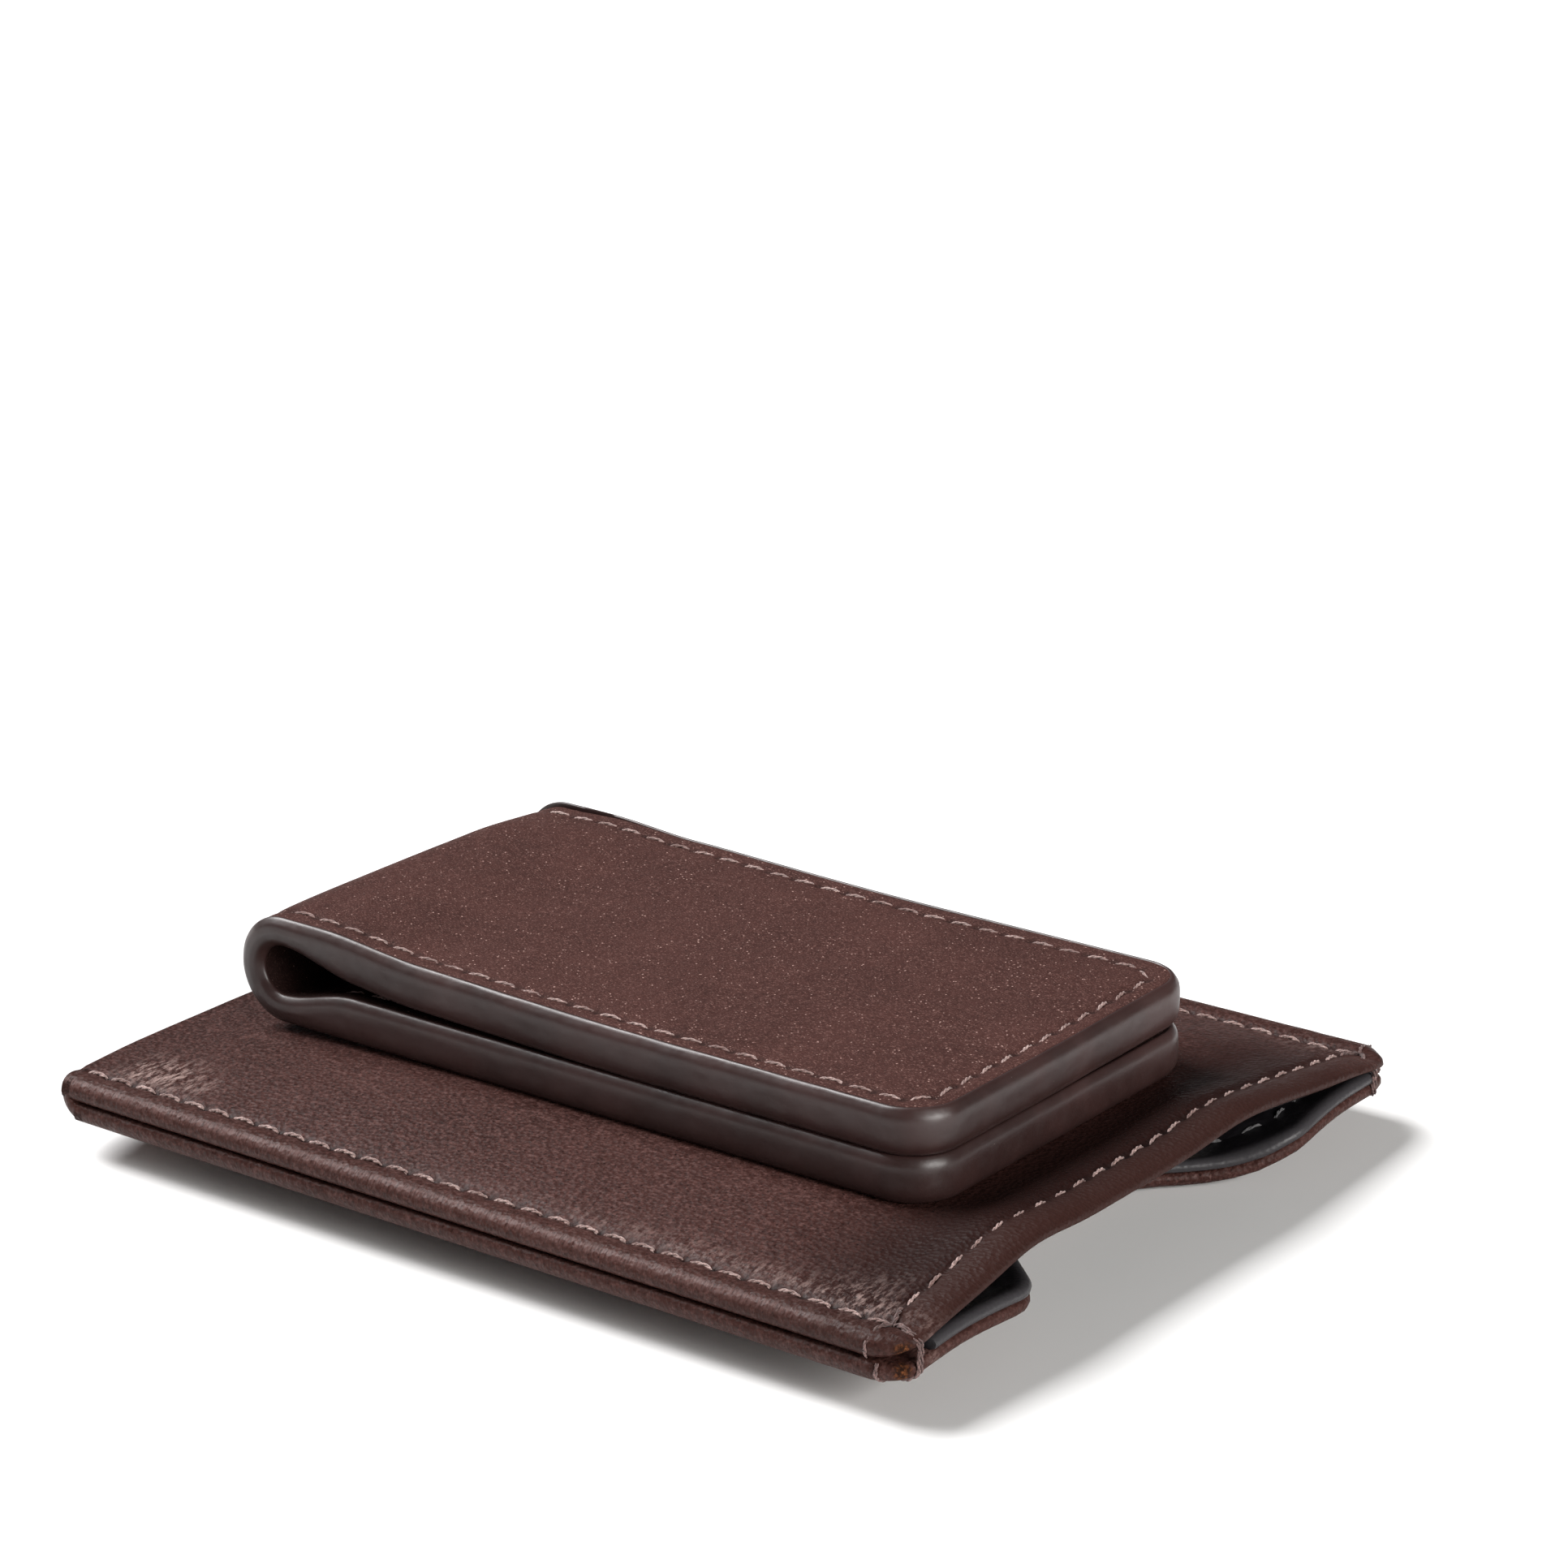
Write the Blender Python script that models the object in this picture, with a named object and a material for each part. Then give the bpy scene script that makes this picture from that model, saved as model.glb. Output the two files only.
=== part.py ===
"""Slim leather card wallet with a folding magnetic money clip, lying on its back panel.

Frame: origin at the centre of the bounding box on the floor. +X points to the pocket mouth,
+Y to the far long side, +Z up. One leather strip is folded at the -X end and sewn along both
long sides. A second strip is folded into a clip on the front panel. All lengths are in mm
until a node is made, and its vertices are then scaled to metres.
"""
import math

import bpy
import numpy as np

# ---- wallet body
BODY_LENGTH = 100.2          # fold to pocket mouth
BODY_WIDTH = 84.4            # long side to long side
EDGE_Z = 5.6                 # level of the slit between the two panels
PANEL = 2.2                  # thickness of one panel, all layers
SLIT = 0.1                   # half the slit between the two rims
FIELD = 1.1                  # thickness of the outer leather away from its rims
FRONT_ARCH = 1.75            # rise of the front panel above its long edges
MOUTH_ARCH = 2.45            # the same at the pocket mouth
FOLD_SWELL = 0.35            # swelling of the wallet's own fold between its corners
ARCH_HALF = 38.6             # half width over which the panels are arched
MOUTH_RISE_START = 40.0      # beyond the clip, the front panel rises on to the mouth
BACK_SAG = 3.4               # drop of the back panel's belly, which the wallet lies on
MOUTH_SAG = 2.7              # the same at the thumb notch
BELLY_HALF = 9.0             # half width of the belly's flat middle
LINING_NEAR, LINING_FAR = 0.15, 0.60       # lining's two faces above the slit level
BOARD_NEAR, BOARD_FAR = 0.68, 0.98         # stiffener board's two faces
NOTCH_HALF_OPEN, NOTCH_HALF_FLOOR, NOTCH_DEPTH = 22.0, 11.0, 11.0
SEAM_SIDE, SEAM_MOUTH = 3.1, 4.0           # stitch line in from the edge
SEAM_START, SEAM_END = -48.2, 45.3         # side seams' first and last needle holes
TACK_START, TACK_END = 45.75, 47.8
STITCH = 3.175                             # stitch pitch
MOUTH_STITCHES = 23
THREAD_HALF, THREAD_HIGH = 0.34, 0.42

# ---- money clip
CLIP_LEFT, CLIP_RIGHT = -43.3, 39.1        # fold and free end
CLIP_WIDTH = 45.0
CLIP_FLOOR = 9.6                           # underside of the lower leaf
LEAF = 4.45                                # thickness of a leaf
FOLD_WALL = 2.8                            # thickness where it folds
FOLD_RADIUS = 5.35                         # outer radius of the fold
LEAF_GAP = 0.1
FOLD_RISE = 2 * FOLD_RADIUS - 2 * LEAF - LEAF_GAP      # crest of the fold above the free end
LEAF_START = -33.7                         # where the flexible fold meets the stiff leaves
LEAF_OVERLAP = 0.05                        # clearance between the fold and the leaves
CLIP_CORNER = 4.5
COAT = 0.9                                 # width of the painted edge coat
SKIN = 1.3                                 # each leather face of a leaf
FOLD_SKIN = 1.4                            # the fold's outer leather face
CLIP_SEAM = 2.9                            # stitch line in from the leaf's edge
INNER_GROOVE = 0.5                         # depth the inner face's stitches lie in
MAGNET = (15.0, 8.0, 1.5)
MAGNET_X, MAGNET_Y = 26.3, 10.5
LEAF_ROWS = [8.0, 0.0, -8.0, -14.0, -20.0, -26.0, LEAF_START]

HALF_LENGTH, HALF_WIDTH = BODY_LENGTH / 2, BODY_WIDTH / 2
FOLD_X = -HALF_LENGTH + PANEL              # centre line of the wallet's own fold
CLIP_CX = CLIP_LEFT + FOLD_RADIUS
CLIP_CZ = CLIP_FLOOR + FOLD_RADIUS


def colour(name, rgb):
    m = bpy.data.materials.new(name)
    m.diffuse_color = (rgb[0], rgb[1], rgb[2], 1.0)
    return m


def make_node(name, verts, faces, material):
    """One closed body: triangles, outward normals, metres."""
    v = np.asarray(verts, float) * 0.001
    tris = []
    for f in faces:
        for k in range(1, len(f) - 1):
            tris.append((f[0], f[k], f[k + 1]))
    t = np.asarray(tris)
    volume = np.einsum("ij,ij->i", v[t[:, 0]], np.cross(v[t[:, 1]], v[t[:, 2]])).sum()
    if volume < 0:
        t = t[:, ::-1]
    mesh = bpy.data.meshes.new(name)
    mesh.from_pydata([tuple(p) for p in v], [], [tuple(int(i) for i in f) for f in t])
    mesh.materials.append(material)
    mesh.update()
    ob = bpy.data.objects.new(name, mesh)
    bpy.context.scene.collection.objects.link(ob)
    return ob


def sheet(name, outer, inner, material):
    """Closed sheet between two grids of points of the same shape."""
    m, n = len(outer), len(outer[0])
    verts = [p for row in outer for p in row] + [p for row in inner for p in row]
    off = m * n

    def at(i, j, side=0):
        return i * n + j + side * off

    faces = []
    for i in range(m - 1):
        for j in range(n - 1):
            a, b, c, d = at(i, j), at(i + 1, j), at(i + 1, j + 1), at(i, j + 1)
            # the shorter diagonal, chosen the same way on mirrored halves
            if j >= (n - 1) // 2:
                faces += [(a, b, c), (a, c, d)]
                faces += [(a + off, c + off, b + off), (a + off, d + off, c + off)]
            else:
                faces += [(a, b, d), (b, c, d)]
                faces += [(a + off, d + off, b + off), (b + off, d + off, c + off)]
    ring = [(i, 0) for i in range(m)] + [(m - 1, j) for j in range(1, n)]
    ring += [(i, n - 1) for i in range(m - 2, -1, -1)] + [(0, j) for j in range(n - 2, 0, -1)]
    for k, (i, j) in enumerate(ring):
        i2, j2 = ring[(k + 1) % len(ring)]
        faces.append((at(i2, j2), at(i, j), at(i, j, 1), at(i2, j2, 1)))
    return make_node(name, verts, faces, material)


def sweep(name, sections, material):
    """Closed bar through a list of cross sections with the same number of points."""
    n = len(sections[0])
    verts = [p for s in sections for p in s]
    faces = [tuple(range(n))[::-1], tuple(range((len(sections) - 1) * n, len(sections) * n))]
    for k in range(len(sections) - 1):
        for j in range(n):
            a, b = k * n + j, k * n + (j + 1) % n
            faces.append((a, b, b + n, a + n))
    return make_node(name, verts, faces, material)


def clamp01(t):
    return max(0.0, min(1.0, t))


def ease(t):
    t = clamp01(t)
    return t * t * (3 - 2 * t)


def ramp(t, r=0.22):
    """0 to 1 with rounded ends."""
    if t < -r:
        return 0.0
    if t < r:
        return (t + r) ** 2 / (4 * r)
    if t < 1 - r:
        return t
    if t < 1 + r:
        return 1 - (1 + r - t) ** 2 / (4 * r)
    return 1.0


# ---------------------------------------------------------------- shape of the wallet body
def swell(y):
    """0 to 1 over the arched width, fullest in the middle."""
    return 1 - min(1.0, abs(y) / ARCH_HALF) ** 5


def arch(x, y):
    """Rise of the front panel above its sewn edges."""
    w = 1 - clamp01((-10.0 - x) / (-10.0 - FOLD_X)) ** 1.6
    a = FOLD_SWELL + (FRONT_ARCH - FOLD_SWELL) * w
    a += (MOUTH_ARCH - FRONT_ARCH) * clamp01((x - MOUTH_RISE_START) / 4.6)
    power = 5 - 1.6 * ease((x - 30.0) / 14.0)
    return a * (1 - min(1.0, abs(y) / ARCH_HALF) ** power)


def sag(x, y):
    """Drop of the back panel below its sewn edges, flat along the middle."""
    w = clamp01((abs(y) - BELLY_HALF) / (HALF_WIDTH - SEAM_SIDE - BELLY_HALF))
    full = 1 - clamp01((-25.0 - x) / (-25.0 - FOLD_X)) ** 2
    depth = BACK_SAG * full - (BACK_SAG - MOUTH_SAG) * ease((x - 16.0) / 18.0)
    power = 2.2 - 1.35 * ease((x - 20.0) / 24.0)
    return depth * (1 - w ** power) + (1 - full) * FOLD_SWELL * swell(y)


def back_mouth(y):
    """Edge of the back panel, with its thumb notch."""
    t = (NOTCH_HALF_OPEN - abs(y)) / (NOTCH_HALF_OPEN - NOTCH_HALF_FLOOR)
    return HALF_LENGTH - NOTCH_DEPTH * ramp(t)


def mouth_edge(front, y):
    return HALF_LENGTH if front else back_mouth(y)


def stretched(front, x, y):
    """Moves a plain row so that the last one follows the panel's mouth edge."""
    return FOLD_X + (x - FOLD_X) * (mouth_edge(front, y) - FOLD_X) / (HALF_LENGTH - FOLD_X)


def fold_point(angle, y, h):
    """Point in the wallet's own fold, h out from the slit, 90 degrees at its top."""
    a = math.radians(angle)
    r = h + FOLD_SWELL * swell(y)
    return (FOLD_X + r * math.cos(a), y, EDGE_Z + r * math.sin(a))


def panel_point(front, x, y, h):
    """Point h above the slit, towards the outside of the front or back panel."""
    if front:
        return (x, y, EDGE_Z + h + arch(x, y))
    return (x, y, EDGE_Z - h - sag(x, y))


# distance in from the edge and height above the slit, from the slit over the rolled bead
SIDE_E = [0.35, 0.0, 0.25, 0.9, 2.0, SEAM_SIDE]
SIDE_H = [SLIT, 0.75, 1.55, 2.05, PANEL, PANEL]
MOUTH_E = [0.35, 0.0, 0.2, 0.9, 2.2, SEAM_MOUTH]
MOUTH_H = [0.70, 1.05, 1.65, 2.1, PANEL, PANEL]
RING = [0.0, 0.13, 0.3, 0.5, 0.75, 1.0]
SIDE_E_IN = [4.6, 4.75, 4.9, 5.05, 5.2, 5.35]
MOUTH_E_IN = [6.0, 6.15, 6.6, 7.2, 7.9, 8.6]
Y_HALF = [36.4, 34.6, 31.0, 26.5, 23.0, 19.5, 15.5, 12.5, 9.5]
X_ROWS = [MOUTH_RISE_START, 33.0, 25.0, 16.0, -5.0, -25.0, -34.0, -39.0, -43.0, -46.2, FOLD_X]
FOLD_ANGLES = [120, 150, 180, 210, 240]
LINING_EDGE = 0.85
LINING_INSETS = [3.0, 5.5, 8.0]
BOARD_INSETS = [6.5, 8.6]


def across():
    """(index into the bead lists or None, y, sign) over the width, near side first."""
    cols = [(k, None, -1) for k in range(6)] + [(None, -y, -1) for y in Y_HALF]
    cols += [(None, 0.0, 1)] + [(None, y, 1) for y in reversed(Y_HALF)]
    return cols + [(k, None, 1) for k in range(5, -1, -1)]


def outer_leather(material):
    cols = across()

    def panel_row(front, i, x_plain, inside):
        """Row of points: i is the bead index at the mouth, or None with a plain x."""
        row = []
        for k, y, s in cols:
            if inside:
                e_side = SIDE_E_IN[k] if k is not None else None
                yy = s * (HALF_WIDTH - e_side) if k is not None else y
                if i is not None:
                    x = mouth_edge(front, yy) - MOUTH_E_IN[i]
                else:
                    x = stretched(front, x_plain, yy)
                h = FIELD
                if i == 0:
                    h = MOUTH_H[0]
                if k == 0:
                    h = SLIT
                row.append(panel_point(front, x, yy, h))
                continue
            if i is not None and k is not None:
                ring = min(i, k)
                qx, qy = 1 - RING[i], 1 - RING[k]
                q = math.hypot(qx, qy)
                dx, dy = (qx / q, qy / q) if q > 1e-9 else (0.0, 0.0)
                x = HALF_LENGTH - SEAM_MOUTH + (SEAM_MOUTH - MOUTH_E[ring]) * dx
                yy = s * (HALF_WIDTH - SEAM_SIDE + (SEAM_SIDE - SIDE_E[ring]) * dy)
                w = dx * dx
                h = MOUTH_H[ring] * w + SIDE_H[ring] * (1 - w)
            else:
                yy = s * (HALF_WIDTH - SIDE_E[k]) if k is not None else y
                if i is not None:
                    x, h = mouth_edge(front, yy) - MOUTH_E[i], MOUTH_H[i]
                else:
                    x, h = stretched(front, x_plain, yy), PANEL
                if k is not None:
                    h = SIDE_H[k]
            row.append(panel_point(front, x, yy, h))
        return row

    def fold_row(angle, inside):
        row = []
        for k, y, s in cols:
            if inside:
                yy = s * (HALF_WIDTH - SIDE_E_IN[k]) if k is not None else y
                h = SLIT if k == 0 else FIELD
            else:
                yy = s * (HALF_WIDTH - SIDE_E[k]) if k is not None else y
                h = SIDE_H[k] if k is not None else PANEL
            row.append(fold_point(angle, yy, h))
        return row

    grids = []
    for inside in (False, True):
        rows = [panel_row(True, i, None, inside) for i in range(6)]
        rows += [panel_row(True, None, x, inside) for x in X_ROWS]
        rows += [fold_row(a, inside) for a in FOLD_ANGLES]
        rows += [panel_row(False, None, x, inside) for x in reversed(X_ROWS)]
        rows += [panel_row(False, i, None, inside) for i in range(5, -1, -1)]
        grids.append(rows)
    return sheet("outer_leather", grids[0], grids[1], material)


def inner_sheet_rows(front, ys, h, edge_insets, xs):
    """Rows of an inner layer: some a set distance in from the mouth edge, then plain ones."""
    rows = [[panel_point(front, mouth_edge(front, y) - e, y, h) for y in ys] for e in edge_insets]
    return rows + [[panel_point(front, stretched(front, x, y), y, h) for y in ys] for x in xs]


def layer_ys():
    return [-y for y in Y_HALF] + [0.0] + Y_HALF[::-1]


def lining(material):
    ys = layer_ys()

    def rows(h, inset):
        insets = [inset] + LINING_INSETS
        front = inner_sheet_rows(True, ys, h, insets, X_ROWS)
        back = inner_sheet_rows(False, ys, h, insets, X_ROWS)
        return front + [[fold_point(a, y, h) for y in ys] for a in FOLD_ANGLES] + back[::-1]

    return sheet("pocket_lining", rows(LINING_FAR, LINING_EDGE + 0.1),
                 rows(LINING_NEAR, LINING_EDGE), material)


def stiffener(name, front, material):
    far, near = [inner_sheet_rows(front, layer_ys(), h, BOARD_INSETS, X_ROWS[:-1])
                 for h in (BOARD_FAR, BOARD_NEAR)]
    return sheet(name, far, near, material)


# ---------------------------------------------------------------- threads
def thread(name, points, up, material, humps=True, gap=0.05, high=THREAD_HIGH, half=THREAD_HALF):
    """Sewing thread on a surface: each stitch is a hump between two needle holes."""
    pts = np.asarray(points, float)
    step = np.linalg.norm(np.diff(pts, axis=0), axis=1)
    s = np.concatenate([[0.0], np.cumsum(step)])
    if humps:
        count = max(1, int(round(s[-1] / STITCH)))
        at = np.linspace(0, s[-1], 2 * count + 1)
    else:
        at = s
    path = np.stack([np.interp(at, s, pts[:, k]) for k in range(3)], axis=1)
    sections = []
    up = np.asarray(up, float)
    for k, c in enumerate(path):
        a, b = path[max(0, k - 1)], path[min(len(path) - 1, k + 1)]
        t = b - a
        side = np.cross(t / np.linalg.norm(t), up)
        side /= np.linalg.norm(side)
        low = humps and k % 2 == 0
        w = half * (0.45 if low else 1.0)
        h = high * (0.40 if low else 1.0)
        sections.append([c - side * w + up * gap, c + side * w + up * gap, c + up * (gap + h)])
    return sweep(name, sections, material)


def mouth_seam_ys():
    half = MOUTH_STITCHES * STITCH / 2
    return np.linspace(-half, half, MOUTH_STITCHES + 1)


def corner_tack(name, side, material):
    """Thread wrapped three times over the sewn edge at the pocket mouth."""
    y0 = HALF_WIDTH
    loop = [(y0 - 3.3, PANEL + 0.06), (y0 - 1.5, PANEL + 0.06), (y0 - 0.5, PANEL - 0.3),
            (y0 + 0.08, 0.9), (y0 + 0.08, -0.9), (y0 - 0.5, -PANEL + 0.3),
            (y0 - 1.5, -PANEL - 0.06), (y0 - 3.3, -PANEL - 0.06)]
    grow = [(y0 - 3.3, PANEL + 0.36), (y0 - 1.4, PANEL + 0.38), (y0 - 0.25, PANEL - 0.05),
            (y0 + 0.42, 1.0), (y0 + 0.42, -1.0), (y0 - 0.25, -PANEL + 0.05),
            (y0 - 1.4, -PANEL - 0.38), (y0 - 3.3, -PANEL - 0.36)]
    x0, x1 = TACK_START, TACK_END
    sections = []
    for (ya, za), (yb, zb) in zip(loop, grow):
        sections.append([(x0, side * ya, EDGE_Z + za), (x1, side * ya, EDGE_Z + za),
                         (x1, side * yb, EDGE_Z + zb), ((x0 + x1) / 2, side * yb, EDGE_Z + zb),
                         (x0, side * yb, EDGE_Z + zb)])
    return sweep(name, sections, material)


# ---------------------------------------------------------------- shape of the money clip
def wall(x):
    """Thickness of a leaf, thinner at the fold."""
    return FOLD_WALL + (LEAF - FOLD_WALL) * ease((x - CLIP_CX) / 9.0)


def top_outer(x):
    """Top face of the upper leaf, falling from the fold's crest to the free end."""
    steep = 1 - ease((x - LEAF_START - 1.0) / 12.0)
    gentle = 0.5 * (1 + math.cos(math.pi * clamp01((x - CLIP_CX) / 48.0)))
    return CLIP_FLOOR + 2 * LEAF + LEAF_GAP + FOLD_RISE * (0.45 * steep + 0.55 * gentle)


def leaf_z(upper, x, side, depth):
    """Height at a depth from a leaf's outer or inner face."""
    if side == "inner":
        depth = wall(x) - depth
    return top_outer(x) - depth if upper else CLIP_FLOOR + depth


def clip_plan(x, y, inset):
    """Rounds the free end's corners of a grid point, for a plate inset from the edge."""
    r = CLIP_CORNER - inset
    right, half = CLIP_RIGHT - inset, CLIP_WIDTH / 2 - inset
    a, b = right - x, half - abs(y)
    if a < r and b < r:
        qx, qy = (r - a) / r, (r - b) / r
        q = math.hypot(qx, qy)
        if q > 1e-9:
            m = max(qx, qy)
            x = right - r + r * m * qx / q
            y = math.copysign(half - r + r * m * qy / q, y)
    return x, y


def edge_distance(x, y, inset):
    return min(CLIP_RIGHT - inset - x, CLIP_WIDTH / 2 - inset - abs(y))


def leaf_plate(name, upper, near, far, material, groove=0.0, pockets=False):
    """Plate of a leaf between two levels, each a side to measure from and a depth."""
    inset = COAT + LEAF_OVERLAP
    right, half = CLIP_RIGHT - inset, CLIP_WIDTH / 2 - inset
    seam = CLIP_SEAM - inset
    es = [0.0, 1.2, 2.6, CLIP_CORNER - inset]
    if groove:
        es = [0.0, seam - 0.6, seam - 0.45, seam + 0.45, seam + 0.6, CLIP_CORNER - inset]
    xs = [right - e for e in es]
    ys = [half - e for e in es]
    mx, my = MAGNET[0] / 2 + 0.1, MAGNET[1] / 2 + 0.1
    xs = sorted(xs + [MAGNET_X + mx, MAGNET_X - mx] + LEAF_ROWS)
    ys = ys + ([MAGNET_Y + my, MAGNET_Y - my] if pockets else [MAGNET_Y, 0.0])
    ys = sorted([-y for y in ys if y > 0] + ys)
    nx, ny = len(xs), len(ys)

    def z_at(level, x, y):
        side, depth = level
        in_groove = abs(edge_distance(x, y, inset) - seam) < 0.5
        if groove and side == "inner" and depth == 0.0 and in_groove:
            depth = groove
        return leaf_z(upper, x, side, depth)

    verts, index = [], {}
    for k, level in enumerate((near, far)):
        for i, x in enumerate(xs):
            for j, y in enumerate(ys):
                px, py = clip_plan(x, y, inset)
                index[(i, j, k)] = len(verts)
                verts.append((px, py, z_at(level, x, y)))

    def filled(i, j):
        if i < 0 or j < 0 or i >= nx - 1 or j >= ny - 1:
            return False
        if not pockets:
            return True
        cx, cy = (xs[i] + xs[i + 1]) / 2, (ys[j] + ys[j + 1]) / 2
        return not (abs(cx - MAGNET_X) < MAGNET[0] / 2 and abs(abs(cy) - MAGNET_Y) < MAGNET[1] / 2)

    faces = []
    for i in range(nx - 1):
        for j in range(ny - 1):
            if not filled(i, j):
                continue
            c = [(i, j), (i + 1, j), (i + 1, j + 1), (i, j + 1)]
            if j < (ny - 1) // 2:
                c = [c[3], c[0], c[1], c[2]]
            faces.append([index[k + (0,)] for k in c])
            faces.append([index[k + (1,)] for k in c][::-1])
            for (di, dj), (a, b) in (((0, -1), ((i, j), (i + 1, j))),
                                     ((1, 0), ((i + 1, j), (i + 1, j + 1))),
                                     ((0, 1), ((i + 1, j + 1), (i, j + 1))),
                                     ((-1, 0), ((i, j + 1), (i, j)))):
                if not filled(i + di, j + dj):
                    faces.append([index[b + (0,)], index[a + (0,)],
                                  index[a + (1,)], index[b + (1,)]])
    used = sorted({i for f in faces for i in f})
    remap = {old: new for new, old in enumerate(used)}
    verts = [verts[i] for i in used]
    faces = [[remap[i] for i in f] for f in faces]
    return make_node(name, verts, faces, material)


def clip_rim(inset, start=LEAF_START, steps=5):
    """Plan points (x, y, outward x, outward y) round the free end of a leaf."""
    r = CLIP_CORNER - inset
    right, half = CLIP_RIGHT - inset, CLIP_WIDTH / 2 - inset
    xs = [start, -26.0, -20.0, -14.0, -8.0, 0.0, 10.0, 22.0]
    out = [(x, -half, 0.0, -1.0) for x in xs if x >= start]
    for k in range(steps + 1):
        a = math.radians(-90 + 90 * k / steps)
        out.append((right - r + r * math.cos(a), -half + r + r * math.sin(a),
                    math.cos(a), math.sin(a)))
    out.append((right, 0.0, 1.0, 0.0))
    mirrored = [(x, -y, nx, -ny) for x, y, nx, ny in reversed(out[:-1])]
    return out + mirrored


def edge_coat(name, upper, material):
    """Thick rounded paint round the cut edges of a leaf."""
    sections = []
    for x, y, nx, ny in clip_rim(0.0):
        t = wall(x)
        prof = [(COAT, 0.08), (0.25, 0.35), (0.0, 1.0), (0.0, t - 1.0), (0.25, t - 0.35),
                (COAT, t - 0.08)]
        sections.append([(x - nx * e, y - ny * e, leaf_z(upper, x, "outer", d))
                         for e, d in prof])
    return sweep(name, sections, material)


def leaf_thread(name, upper, outer_face, material, depth=0.0):
    """Thread along the leaf's seam, on its outer face or down in the inner face's groove."""
    side = "outer" if outer_face else "inner"
    pts = [(x, y, leaf_z(upper, x, side, depth))
           for x, y, nx, ny in clip_rim(CLIP_SEAM, start=LEAF_START + 1.5, steps=3)]
    up = 1.0 if upper == outer_face else -1.0
    high = THREAD_HIGH if outer_face else depth - 0.12
    return thread(name, pts, (0, 0, up), material, humps=outer_face, high=high,
                  half=THREAD_HALF if outer_face else 0.28)


def fold_path(depth, steps=10):
    """Points (x, z) through the fold at a depth from its outer face, lower leaf first."""
    straight = [LEAF_START - LEAF_OVERLAP, CLIP_CX + 2.0, CLIP_CX]
    out = [(x, CLIP_FLOOR + depth * wall(x) / FOLD_WALL) for x in straight]
    r = FOLD_RADIUS - depth
    for k in range(1, steps):
        a = math.radians(270 - 180 * k / steps)
        out.append((CLIP_CX + r * math.cos(a), CLIP_CZ + r * math.sin(a)))
    return out + [(x, top_outer(x) - depth * wall(x) / FOLD_WALL) for x in reversed(straight)]


def fold_sheet(name, d0, d1, material):
    half = CLIP_WIDTH / 2 - COAT - LEAF_OVERLAP
    ys = [-half, -half / 2, 0.0, half / 2, half]
    grids = [[[(x, y, z) for y in ys] for x, z in fold_path(d)] for d in (d0, d1)]
    return sheet(name, grids[0], grids[1], material)


def fold_edge(name, side, material):
    prof = [(COAT, 0.08), (0.25, 0.35), (0.0, 0.9), (0.0, FOLD_WALL - 0.9),
            (0.25, FOLD_WALL - 0.35), (COAT, FOLD_WALL - 0.08)]
    paths = [fold_path(d) for e, d in prof]
    half = CLIP_WIDTH / 2
    sections = []
    for k in range(len(paths[0])):
        sections.append([(paths[q][k][0], side * (half - e), paths[q][k][1])
                         for q, (e, d) in enumerate(prof)])
    return sweep(name, sections, material)


def block(name, cx, cy, cz, size, material):
    sx, sy, sz = (s / 2 for s in size)
    low = [(cx - sx, cy - sy), (cx + sx, cy - sy), (cx + sx, cy + sy), (cx - sx, cy + sy)]
    return sweep(name, [[(x, y, cz - sz) for x, y in low], [(x, y, cz + sz) for x, y in low]],
                 material)


# ---------------------------------------------------------------- build
for old in list(bpy.data.objects):
    bpy.data.objects.remove(old, do_unlink=True)

LEATHER = colour("brown leather", (0.16, 0.075, 0.035))
LINING = colour("black lining", (0.02, 0.02, 0.022))
BOARD = colour("stiffener board", (0.35, 0.30, 0.24))
THREAD = colour("pale thread", (0.62, 0.45, 0.38))
PAINT = colour("edge paint", (0.05, 0.025, 0.018))
METAL = colour("magnet", (0.55, 0.56, 0.58))

outer_leather(LEATHER)
lining(LINING)
stiffener("front_stiffener", True, BOARD)
stiffener("back_stiffener", False, BOARD)

for side, word in ((-1, "near"), (1, "far")):
    y = side * (HALF_WIDTH - SEAM_SIDE)
    for where, up, humps in (("top", 1, True), ("under", -1, False)):
        z = EDGE_Z + up * PANEL
        thread(f"{word}_seam_{where}_thread", [(SEAM_START, y, z), (SEAM_END, y, z)],
               (0, 0, up), THREAD, humps=humps, gap=0.14)
    corner_tack(word + "_corner_tack", side, THREAD)

x_front = HALF_LENGTH - SEAM_MOUTH
ys = mouth_seam_ys()
thread("front_mouth_top_thread", [panel_point(True, x_front, y, PANEL) for y in ys],
       (0, 0, 1), THREAD, gap=0.09)
thread("front_mouth_inner_thread", [panel_point(True, x_front, y, LINING_NEAR) for y in ys[::2]],
       (0, 0, -1), THREAD, humps=False, gap=0.14, high=0.25)
for word, h, up in (("inner", LINING_NEAR, 1), ("outer", PANEL, -1)):
    thread(f"back_mouth_{word}_thread",
           [panel_point(False, back_mouth(y) - SEAM_MOUTH, y, h) for y in ys],
           (0, 0, up), THREAD, humps=False, gap=0.06, high=0.18)

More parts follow.
